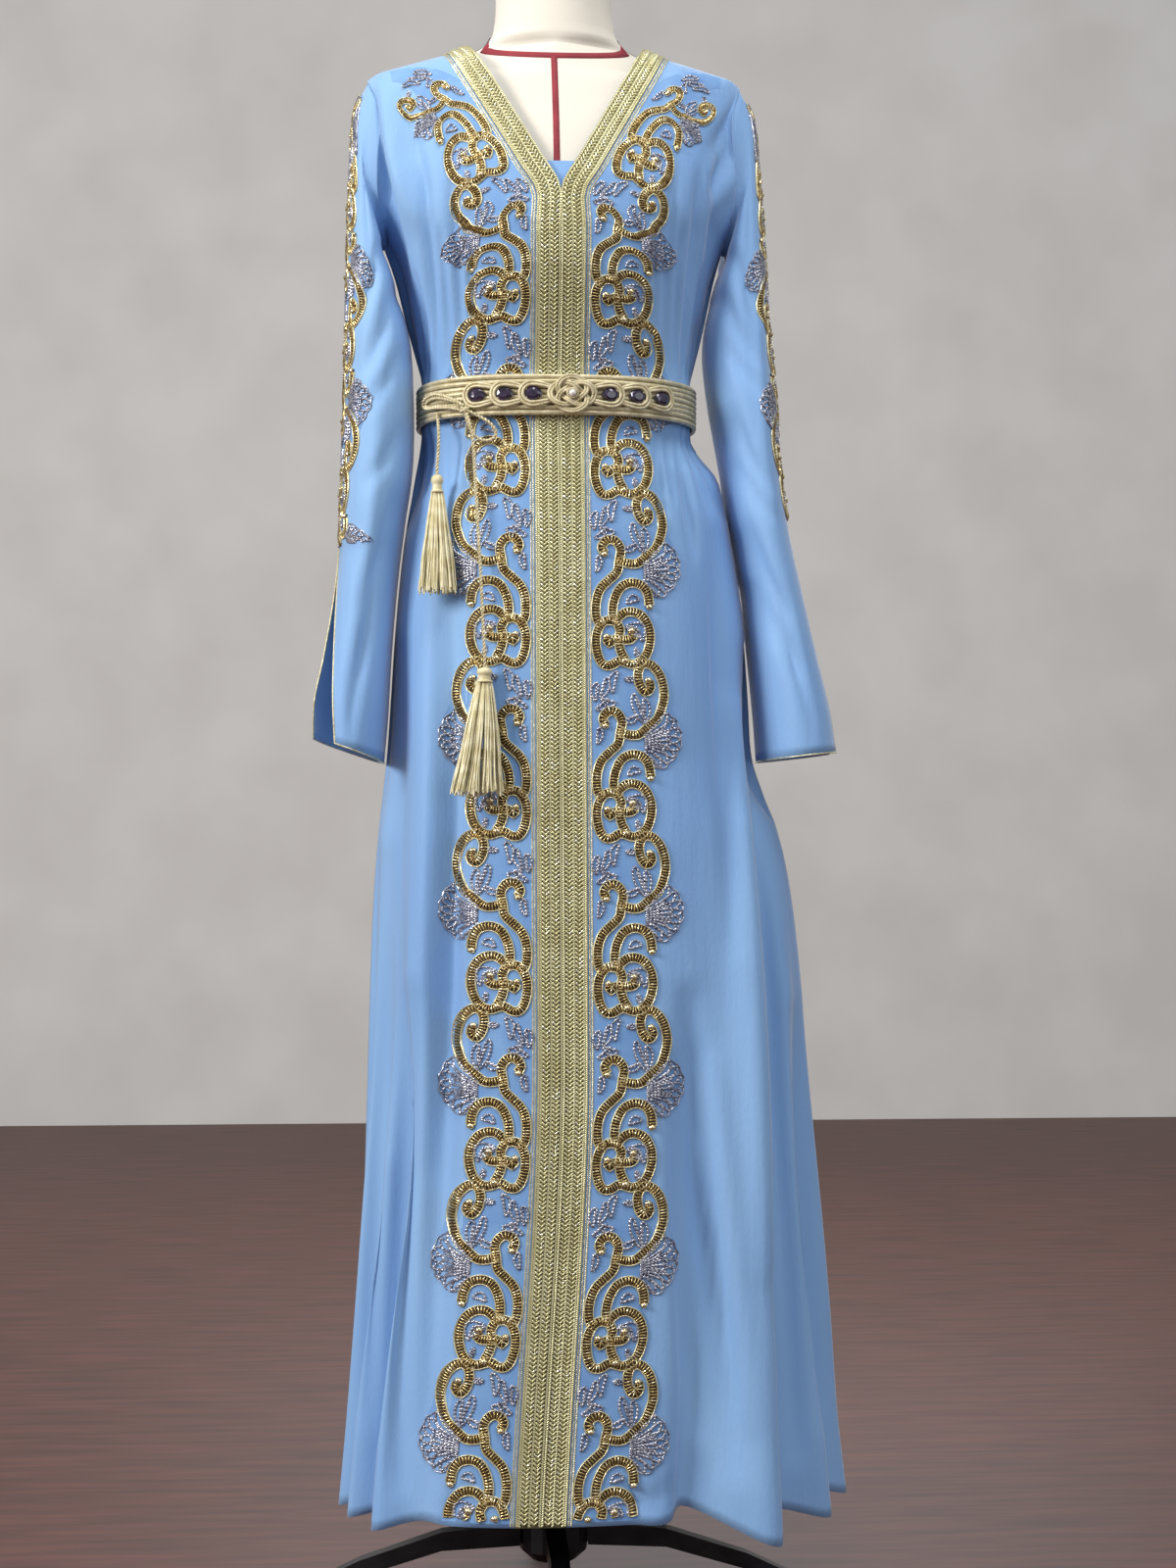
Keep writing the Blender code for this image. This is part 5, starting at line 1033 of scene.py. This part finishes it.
def belt_frame(turn):
    """Inner point and outward direction of the belt at an angle."""
    step = belt_inner(turn + 0.01) - belt_inner(turn - 0.01)
    return belt_inner(turn), Vector((step.y, -step.x, 0.0)).normalized()


def belt_chart():
    """The chart of the belt's face: along it from its middle, and up."""
    turns = np.linspace(-math.pi / 2 - 1.45, -math.pi / 2 + 1.45, 400)
    frames = [belt_frame(turn) for turn in turns]
    face = np.array([here + outward * 0.0045 for here, outward in frames])
    run = run_along(face)
    run -= np.interp(-math.pi / 2, turns, run)
    across = np.arange(-0.155, 0.1551, 0.0025)
    line = at_run(across, run, face)
    ups = np.arange(-0.030, 0.0301, 0.0025)
    points = np.repeat(line[:, None, :], len(ups), axis=1)
    points[..., 2] = BELT_Z + ups[None, :]
    return Chart(points, (across[0], ups[0]), (0.0025, 0.0025), (0.0, -1.0, 0.0))


def tube(batch, points, radius, sides=8, closed=False, twist=0.0, plies=1):
    """A round cord along points in space, plain or of twisted plies."""
    points = np.asarray(points, float)
    count = len(points)
    heading = unit(np.roll(points, -1, 0) - np.roll(points, 1, 0) if closed else np.gradient(points, axis=0))
    across = np.zeros_like(points)
    start = np.cross(heading[0], (0.0, 0.0, 1.0))
    if np.linalg.norm(start) < 0.1:
        start = np.cross(heading[0], (0.0, 1.0, 0.0))
    across[0] = start / np.linalg.norm(start)
    for index in range(1, count):
        moved = across[index - 1] - heading[index] * (across[index - 1] @ heading[index])
        across[index] = moved / np.linalg.norm(moved)
    up = np.cross(heading, across)
    run = run_along(points)
    turn = np.arange(sides) * 2 * math.pi / sides
    for ply in range(plies):
        centre, size = points, radius
        if plies > 1:
            phase = run * twist + ply * 2 * math.pi / plies
            size = radius * 0.60
            centre = points + (across * np.cos(phase)[:, None] + up * np.sin(phase)[:, None]) * radius * 0.44
        ring = (centre[:, None, :] + across[:, None, :] * (np.cos(turn) * size)[None, :, None]
                + up[:, None, :] * (np.sin(turn) * size)[None, :, None])
        rows = np.concatenate([ring, ring[:1]]) if closed else ring
        batch.add(rows, grid_faces(len(rows), sides, closed=True))


def twisted(batch, route, radius):
    """A two-ply cord along a smooth route; returns its centreline."""
    line = smooth_line(route, 0.0012)
    tube(batch, line, radius, sides=6, twist=2 * math.pi / 0.0075, plies=2)
    return line


def belt_band():
    """The band of fine parallel cords round the waist."""
    batch = Batch()
    turns = np.linspace(0.0, 2 * math.pi, 240, endpoint=False)
    frames = [belt_frame(turn) for turn in turns]
    pitch = BELT_HEIGHT / BELT_CORDS
    for number in range(BELT_CORDS):
        up = BELT_HEIGHT / 2 - pitch * (number + 0.5)
        sway = [0.00035 * math.sin(5 * turn + 1.9 * number) for turn in turns]
        line = [here + outward * 0.0022 + Vector((0.0, 0.0, BELT_Z + up + rise))
                for (here, outward), rise in zip(frames, sway)]
        tube(batch, line, pitch * 0.53, sides=7, closed=True)
    return batch.make("belt_cords", [CORD])


# Outline of a loop of the belt, out from its stone and up
LOOP_OUTLINE = pairs((250, 36, 130, 86, 0, 112, -88, 80, -122, 0, -88, -80, 0, -112, 130, -86, 250, -36))
KNOT_PLACE = 0.011


def belt_loop(cords, chart, centre, toward):
    """One loop of doubled cord."""
    for share, height in ((1.0, 0.0026), (0.74, 0.0030)):
        outline = [(x * toward * (share if x < 0.006 else 1.0), y * share) for x, y in LOOP_OUTLINE]
        flat = smooth_line(outline, 0.0016)
        rise = height - 0.0016 * smoothstep(0.008, 0.022, flat[:, 0] * toward)
        tube(cords, chart.at(flat[:, 0] + centre, flat[:, 1], rise), 0.00155, sides=7)


def belt_stone(stones, chart, centre, toward):
    """One cut drop stone, in its loop."""
    layers = []
    for size, height in ((1.0, 0.0004), (1.0, 0.0022), (0.78, 0.0034), (0.50, 0.0041), (0.02, 0.0041)):
        angle = np.arange(STONE_SIDES) * 2 * math.pi / STONE_SIDES + (0.22 if size == 0.78 else 0.0)
        reach = 0.0078 * size * (1.0 + 0.16 * np.maximum(np.cos(angle) * toward, 0.0) ** 3)
        layers.append(chart.at(centre + reach * np.cos(angle), 0.0066 * size * np.sin(angle), height))
    stones.add(layers, grid_faces(len(layers), STONE_SIDES, closed=True))


def belt_knot(cords, chart, ring):
    """The interlaced knot of doubled cord, and the pearl's setting."""
    t = np.linspace(0.0, 2 * math.pi * 3, 260, endpoint=False)
    for shift in (-0.0011, 0.0011):
        reach = 0.0118 + 0.0052 * np.cos(4 * t / 3) + shift
        across = KNOT_PLACE + 1.22 * reach * np.cos(t)
        line = chart.at(across, 0.95 * reach * np.sin(t), 0.0036 + 0.0014 * np.sin(8 * t / 3))
        tube(cords, line, 0.00150, sides=7, closed=True)
    line = chart.at(KNOT_PLACE + 0.0050 * np.cos(ring), 0.0045 * np.sin(ring), 0.0056)
    tube(cords, line, 0.0009, sides=6, closed=True)


def belt_pearl(chart, ring):
    """The pearl on the knot."""
    rows = []
    for tilt in np.linspace(-1.45, 1.56, 12):
        reach = 0.0036 * math.cos(tilt)
        rows.append(chart.at(KNOT_PLACE + reach * np.cos(ring), reach * np.sin(ring),
                             0.0060 + 0.0036 * math.sin(tilt)))
    pearl = Batch()
    pearl.add(rows, grid_faces(len(rows), len(ring), closed=True))
    belongs(pearl.make("belt_pearl_round", [PEARL]), "pearl", "belt_pearl")


def belt_ornaments(chart):
    """The loops with their stones, the knot and its pearl."""
    cords, stones = Batch(), Batch()
    for centre, toward in ((-0.080, 1), (-0.053, 1), (-0.026, 1), (0.048, -1), (0.075, -1), (0.102, -1)):
        belt_loop(cords, chart, centre, toward)
        belt_stone(stones, chart, centre, toward)
    ring = np.linspace(0.0, 2 * math.pi, 40, endpoint=False)
    belt_knot(cords, chart, ring)
    numbers = range(1, 7)
    loops = ["belt_loop_%d" % number for number in numbers]
    belongs(cords.make("belt_loops", [CORD]), "belt_cord", "belt_knot", *loops)
    drops = ["belt_stone_%d" % number for number in numbers]
    belongs(stones.make("belt_stones", [JEWEL], smooth=False), "jewel", *drops)
    belt_pearl(chart, ring[::2])


def tassel_head(batch, top, radius, height):
    """The wound head of a tassel."""
    profile = ((0.10, 0.0), (0.62, -0.04), (0.88, -0.16), (1.0, -0.36), (0.86, -0.50), (0.74, -0.58),
               (0.80, -0.66), (0.76, -0.72), (0.82, -0.79), (0.78, -0.85), (1.0, -0.93), (1.06, -1.0),
               (0.9, -1.03), (0.05, -1.03))
    turn = np.arange(18) * 2 * math.pi / 18
    rows = [np.stack([top[0] + share * radius * np.cos(turn), top[1] + share * radius * np.sin(turn),
                      np.full(18, top[2] + fall * height)], 1) for share, fall in profile]
    batch.add(np.array(rows), grid_faces(len(rows), 18, flip=True, closed=True))


def tassel_strands(name, top, radius, height, spread, length, lean_x, lean_y, count, seed):
    """The loose silk strands of a tassel."""
    random = np.random.default_rng(seed)
    batch = Batch()
    turns = random.random(count) * 2 * math.pi
    reaches = np.sqrt(random.random(count))
    steps = np.linspace(0.0, 1.0, 11)
    for turn, reach in zip(turns, reaches):
        long = length * (0.95 + 0.07 * random.random())
        size = spread * (0.25 + 0.75 * reach)
        wave = 0.0008 * np.sin(steps * (7 + 5 * random.random()) + 6.28 * random.random()) * steps
        out = radius * 0.9 * reach + (size - radius * 0.9 * reach) * steps ** 0.85
        x = top[0] + math.cos(turn) * out + lean_x * steps ** 1.2 + wave
        y = top[1] + math.sin(turn) * out * 0.55 + lean_y * steps + wave * 0.6
        z = top[2] - height - long * steps + 0.001
        tube(batch, np.stack([x, y, z], 1), 0.00075 * (0.85 + 0.3 * random.random()), sides=4)
    return batch.make(name, [TASSEL])


def form_point(angle, height, clear=0.0):
    """A point on the dress form at an angle, counter-clockwise from the right."""
    if 1.484 <= height <= 1.5203:
        zs = [row[0] for row in FORM_RINGS]
        width, front, back = (float(np.interp(height, zs, column)) for column in list(zip(*FORM_RINGS))[1:])
    else:
        width, front, back = (table_value(FORM_RINGS, k, height) for k in (1, 2, 3))
    rise = float(smoothstep(1.484, 1.4938, height) * (1.0 - smoothstep(1.5203, 1.528, height)))
    power = 1.0 + 0.4 * rise
    depth = front if math.sin(angle) < 0 else back
    x = math.copysign(width * abs(math.cos(angle)) ** power, math.cos(angle))
    y = math.copysign(depth * abs(math.sin(angle)) ** power, math.sin(angle))
    out = math.hypot(x, y)
    return Vector((x * (1 + clear / out), y * (1 + clear / out), height))


def form_body():
    """The smooth padded form."""
    heights = sorted(set([row[0] for row in FORM_RINGS] + list(np.arange(0.806, 1.480, 0.010))
                         + list(np.arange(1.484, 1.600, 0.004))))
    turns = np.arange(FORM_SIDES) * 2 * math.pi / FORM_SIDES
    rows = [[form_point(turn, height) for turn in turns] for height in heights]
    rows = [[Vector((point.x * 0.02, point.y * 0.02, 0.800)) for point in rows[0]]] + rows
    rows.append([Vector((point.x * 0.02, point.y * 0.02, 1.600)) for point in rows[-1]])
    batch = Batch()
    batch.add(np.array(rows), grid_faces(len(rows), FORM_SIDES, closed=True))
    belongs(batch.make("form_body", [FORM]), "form_cloth", "form_torso")


def form_tapes():
    """The tape round the form's neck, and the one down its front."""
    tapes = Batch()
    rows = []
    for up, clear in ((-0.0032, 0.0001), (-0.0030, 0.0006), (0.0030, 0.0006), (0.0032, 0.0001)):
        line = []
        for turn in np.linspace(-math.pi, math.pi, FORM_SIDES + 1)[:-1]:
            front = max(-math.sin(turn), 0.0)
            height = 1.5345 - 0.0295 * front ** 1.15 + 0.002 * max(math.sin(turn), 0.0)
            line.append(form_point(turn, height + up * (0.40 + 0.60 * front), clear))
        rows.append(line)
    tapes.add(np.array(rows), grid_faces(4, FORM_SIDES, closed=True))
    rows = []
    for height in np.arange(1.352, 1.5051, 0.004):
        line = []
        for across, clear in ((-0.0030, 0.0), (-0.0028, 0.0006), (0.0028, 0.0006), (0.0030, 0.0)):
            point = form_point(-math.pi / 2 + across / 0.14, height, clear)
            line.append((across - 0.0030, point.y, height))
        rows.append(line)
    tapes.add(np.array(rows), grid_faces(len(rows), 4, flip=True))
    belongs(tapes.make("form_tapes", [TAPE]), "form_cloth")


def form_seams():
    """The seam over each shoulder of the form."""
    seams = Batch()
    for side in (-1, 1):
        line = []
        for x in np.linspace(0.062, 0.104, 8):
            height = float(np.interp(x, (0.060, 0.068, 0.084, 0.112), (1.541, 1.528, 1.5203, 1.5115)))
            line.append((side * (x + 0.0003), -0.002, height + 0.0003))
        tube(seams, line, 0.0006, sides=6)
    belongs(seams.make("form_seams", [SEAM]), "form_cloth")


def belongs(piece, slot_name, *nodes):
    """Tie a piece to the model: hide the nodes it stands for, and hang it on the root body; slot_name is not
    used.
    """
    if nodes:
        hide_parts(*nodes)
    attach(piece, "root")
    return piece


def beadwork(name, chart, joints, pitch, scale, stretch, keep, seed, net):
    """The beadwork of one strip, and the net under it."""
    batch = Batch()
    for number, joint in enumerate(joints):
        motif(batch, chart, joint, scale, keep, number < WHOLE_REPEATS, stretch, seed + number)
    beads = batch.make("beadwork_" + name, [BEADS, LINE, PALE_GOLD_AND_HIGHLIGHT, SILVER, BEAD_GAP_SHADE])
    belongs(beads, "gold_beads", "scrollwork_" + name)
    belongs(net_piece("net_" + name, chart, joints[0], *net, pitch), "blue_cloth")


def front_panel(side, word, creases):
    """One front: its cloth, its braid, and its beadwork."""
    grid = front_grid(side)
    normal = facing(grid, (0.0, -1.0, 0.0))
    seam = int((grid[:, -1, 2] < SEAM_TOP).sum())
    settle_edge(normal, (slice(None), 0), (0.0, 1.0, 1.0))
    settle_edge(normal, (slice(0, seam), -1), (1.0, 0.0, 1.0))
    settle_edge(normal, (-1, slice(None)), (0.3, 0.0, 1.0))
    keep = fade(grid.shape[1], (15, 26), (0, 3))
    surface = creased(grid + normal * WALL, normal, creases, 1.85, keep, 1.12)
    belongs(cloth_piece("cloth_front_" + word, surface, normal), "blue_cloth", "front_" + word)
    belongs(braid("braid_" + word, strip_chart(surface, 0.030), side), "gold_braid", "trim_" + word)
    first = 0.092 if side > 0 else 0.094
    joints = [first + FRONT_PITCH * number for number in range(-1, 9)]
    beadwork("front_" + word, front_chart(surface, side), joints, FRONT_PITCH, 1.0, 1.0, (0.0185, 1.468),
             50 if side > 0 else 0, (1.0, 0.0160, 1.456))


def back_panel():
    """The back's cloth, and the braid round its neckline."""
    grid = back_grid()
    normal = facing(grid, (0.0, 1.0, 0.0))
    for column in (0, -1):
        seam = int((grid[:, column, 2] < SEAM_TOP).sum())
        settle_edge(normal, (slice(0, seam), column), (1.0, 0.0, 1.0))
    normal[-1, np.abs(grid[-1, :, 0]) > 0.084] = (0.0, 0.0, 1.0)
    keep = fade(grid.shape[1], (0, 3), (0, 3))
    surface = creased(grid + normal * WALL, normal, BACK_CREASES, 1.7, keep)
    belongs(cloth_piece("cloth_back", surface, normal), "blue_cloth", "back")
    back_braid(surface)


def sleeve(side, word, table, creases, strip_end):
    """One sleeve: its cloth, its beadwork, and the piping of its cuff and slit."""
    grid = dense_grid(sleeve_rows(side, table), 0.0095, 6)
    normal = grid_normals(grid)
    if (np.sum(normal * (grid - grid.mean(axis=1, keepdims=True)), axis=-1) < 0).mean() > 0.5:
        normal = -normal
    joined = np.linalg.norm(grid[:, 0] - grid[:, -1], axis=-1) < 0.0015
    normal[joined, 0] = normal[joined, -1] = unit(normal[joined, 0] + normal[joined, -1])
    count = grid.shape[1]
    keep = fade(count, (2, 9), (2, 9)) * smoothstep(0, 6, np.arange(grid.shape[0]))[:, None]
    surface = creased(grid + normal * WALL, normal, creases, 1.7, keep, side=side)
    sheer = (np.arange(count - 1)[None, :] > 0.58 * count) & (surface[:-1, :-1, 2] < 1.000)
    slots = sheer.astype(int).reshape(-1) if side < 0 else None
    belongs(cloth_piece("cloth_sleeve_" + word, surface, normal, slots), "blue_cloth", "sleeve_" + word)
    joints = [0.022 + 0.018 + SLEEVE_PITCH * number for number in range(-1, 4)]
    beadwork("sleeve_" + word, sleeve_chart(surface, side), joints, SLEEVE_PITCH, 0.92, 0.864,
             (0.004, strip_end), 250 if side > 0 else 200, (0.9, 0.002, strip_end + 0.002))
    edges = Batch()
    slit = int(np.argmax(~joined))
    for line in (surface[-1], surface[slit:, 0], surface[slit:, -1]):
        tube(edges, smooth_line(line, 0.004), 0.0008, sides=6)
    belongs(edges.make("piping_" + word, [LINE]), "gold_braid")


def back_braid(surface):
    """Braid round the back neckline."""
    inside = np.abs(surface[-1, :, 0]) < NECK_POINT_X + 0.004
    downs = np.arange(0.0, 0.0256, 0.0016)
    lines = np.swapaxes(surface[::-1, inside], 0, 1)
    points = np.array([at_run(downs, run_along(line), line) for line in lines])
    along = run_along(points[:, 0])
    even = np.arange(0.0, along[-1], 0.003)
    spread = np.array([at_run(even, along, points[:, k]) for k in range(len(downs))])
    chart = Chart(spread, (0.0, 0.0), (0.0016, 0.003), (0.0, 1.0, 0.6))
    chart.length = even[-1]
    belongs(braid("braid_back_neck", chart, 1), "gold_braid", "trim_back_neck")


def belt_bow(chart, knot):
    """The bow: a doubled loop to the left, a loop that hangs, and the wound knot."""
    bow = Batch()
    left = [chart.at(a, u, h) for a, u, h in ((-0.0900, -0.0105, 0.0062), (-0.1000, -0.0040, 0.0060),
                                             (-0.1140, 0.0020, 0.0044), (-0.1290, 0.0052, 0.0030),
                                             (-0.1440, 0.0030, 0.0026), (-0.1475, -0.0030, 0.0026),
                                             (-0.1400, -0.0068, 0.0028), (-0.1240, -0.0082, 0.0036),
                                             (-0.1060, -0.0105, 0.0046), (-0.0910, -0.0145, 0.0056))]
    left = np.array(left)
    for shift in (0.0, 1.0):
        inner = left + (left.mean(axis=0) - left) * 0.16 * shift
        inner[:, 2] = left[:, 2] + (left[:, 2].mean() - left[:, 2]) * 0.38 * shift
        inner[:, 1] -= 0.0008
        twisted(bow, inner, 0.0020)
    drop = knot + np.array([(0.0, -0.001, -0.002), (0.003, -0.003, -0.014), (0.009, -0.0055, -0.0255),
                            (0.019, -0.0065, -0.0300), (0.027, -0.0055, -0.0270), (0.0285, -0.0045, -0.0200),
                            (0.022, -0.0035, -0.0120), (0.012, -0.0020, -0.0060), (0.002, -0.0010, -0.0010)])
    twisted(bow, drop, 0.0019)
    turn = np.linspace(0.0, 2 * math.pi, 24, endpoint=False)
    for tilt, size in ((0.5, 0.0048), (-0.5, 0.0046), (1.4, 0.0042)):
        out = size * np.cos(turn)
        ring = np.stack([out * math.cos(tilt), 0.0018 + 0.0040 * np.sin(turn), out * math.sin(tilt)], 1)
        tube(bow, knot + ring, 0.0014, sides=6, closed=True)
    belongs(bow.make("bow", [CORD]), "belt_cord", "belt_bow")


def free_end(word, route, radius, height, strands, seed):
    """One free end of the tie: its cord, and its tassel's head and strands."""
    batch = Batch()
    line = twisted(batch, route, 0.0018)
    cord = belongs(batch.make("tie_cord_" + word, [CORD]), "belt_cord", "cord_" + word)
    top = line[-1] + np.array([0.0, 0.0, 0.0008])
    head = Batch()
    tassel_head(head, top, radius, height)
    head = belongs(head.make("tassel_head_" + word, [TASSEL]), "tassel_silk")
    silk = tassel_strands("tassel_strands_" + word, top, radius, height, *strands, seed)
    belongs(silk, "tassel_silk", "tassel_" + word)


def tie(chart):
    """The bow on the belt, the two free ends and their tassels."""
    knot = chart.at(-0.0895, -0.0135, 0.0050)
    belt_bow(chart, knot)
    short_start = chart.at(-0.1235, -0.0135, 0.0020)
    short_route = [short_start, (-0.1135, -0.0830, 1.1400), (-0.1140, -0.0850, 1.1200),
                   (-0.1150, -0.0868, 1.1060), (-0.1150, -0.0868, 1.0975)]
    free_end("short", short_route, 0.0060, 0.0165, (0.0185, 0.098, 0.0, -0.020, 118), 5)
    long_start = knot + np.array([0.0015, -0.0012, -0.0030])
    long_route = [long_start, (-0.0835, -0.1035, 1.1400), (-0.0815, -0.1045, 1.1250),
                  (-0.0790, -0.1100, 1.0800), (-0.0763, -0.1175, 1.0300), (-0.0735, -0.1245, 0.9700),
                  (-0.0715, -0.1295, 0.9240), (-0.0715, -0.1295, 0.9130)]
    free_end("long", long_route, 0.0075, 0.0135, (0.0250, 0.106, -0.007, -0.019, 128), 8)


def set_camera(scene):
    """A level camera 2.5 m from the form's axis, set to match the photo's framing."""
    data = bpy.data.cameras.new("camera")
    data.sensor_fit = "VERTICAL"
    data.angle = 2 * math.atan(800 / 2600)
    data.shift_y = 0.03125
    camera = bpy.data.objects.new("camera", data)
    turn = math.radians(-4.0)
    x, y, z = 0.0337, -2.5, 0.76
    camera.location = (x * math.cos(turn) - y * math.sin(turn), x * math.sin(turn) + y * math.cos(turn), z)
    camera.rotation_euler = (math.pi / 2, 0.0, turn)
    scene.collection.objects.link(camera)
    scene.camera = camera


def set_lights(scene):
    """A pale surround, a window to the left, and three weaker lights."""
    world = bpy.data.worlds.new("world")
    world.use_nodes = True
    world.node_tree.nodes["Background"].inputs["Color"].default_value = (0.90, 0.93, 1.0, 1.0)
    world.node_tree.nodes["Background"].inputs["Strength"].default_value = 0.42
    scene.world = world
    for name, place, aim, size, power, colour in (
            ("window", (-2.9, -1.7, 2.3), 1.0, 1.2, 118.0, (1.0, 0.98, 0.95)),
            ("fill", (2.2, -2.6, 1.5), 0.9, 2.2, 20.0, (0.92, 0.96, 1.0)),
            ("top", (0.3, -1.1, 3.2), 1.0, 1.2, 34.0, (1.0, 0.99, 0.97)),
            ("behind", (0.4, 2.6, 2.2), 1.0, 2.0, 30.0, (0.95, 0.97, 1.0))):
        light = bpy.data.lights.new(name, "AREA")
        light.energy = power
        light.size = size
        light.color = colour
        lamp = bpy.data.objects.new(name, light)
        lamp.location = place
        toward = Vector((0.0, 0.0, aim)) - Vector(place)
        lamp.rotation_euler = toward.to_track_quat("-Z", "Y").to_euler()
        scene.collection.objects.link(lamp)


def floor_and_wall():
    """A plain floor, and a plain wall well behind the part."""
    boards = dyed("floor_boards", (0.060, 0.016, 0.010), (0.120, 0.035, 0.022), 6.0, 0.5, 60.0, 0.2,
                  stretch=(1.0, 9.0, 1.0))
    plaster = dyed("wall_plaster", (0.840, 0.815, 0.765), (0.920, 0.900, 0.855), 4.0, 0.9, 90.0, 0.25)
    for name, look, corners in (
            ("floor", boards, [(-5, -5, -0.0005), (5, -5, -0.0005), (5, 5, -0.0005), (-5, 5, -0.0005)]),
            ("wall", plaster, [(-5, 4.2, 0.0), (5, 4.2, 0.0), (5, 4.2, 4.4), (-5, 4.2, 4.4)])):
        mesh_object(name, corners, np.array([[0, 1, 2, 3]]), [look], smooth=False)


def main():
    scene = bpy.context.scene
    scene.view_settings.view_transform = "Standard"
    set_camera(scene)
    set_lights(scene)
    floor_and_wall()
    front_panel(-1, "left", LEFT_CREASES)
    front_panel(1, "right", RIGHT_CREASES)
    back_panel()
    sleeve(-1, "left", LEFT_SLEEVE, LEFT_SLEEVE_CREASES, 0.452)
    sleeve(1, "right", RIGHT_SLEEVE, SLEEVE_CREASES, 0.418)
    belongs(belt_band(), "belt_cord", "belt")
    chart = belt_chart()
    belt_ornaments(chart)
    tie(chart)
    form_body()
    form_tapes()
    form_seams()
    for name, node in frame["nodes"].items():
        if not node.hide_render:
            node.data.materials.clear()
            node.data.materials.append(CLOTH if name == "modesty_insert" else IRON)


main()
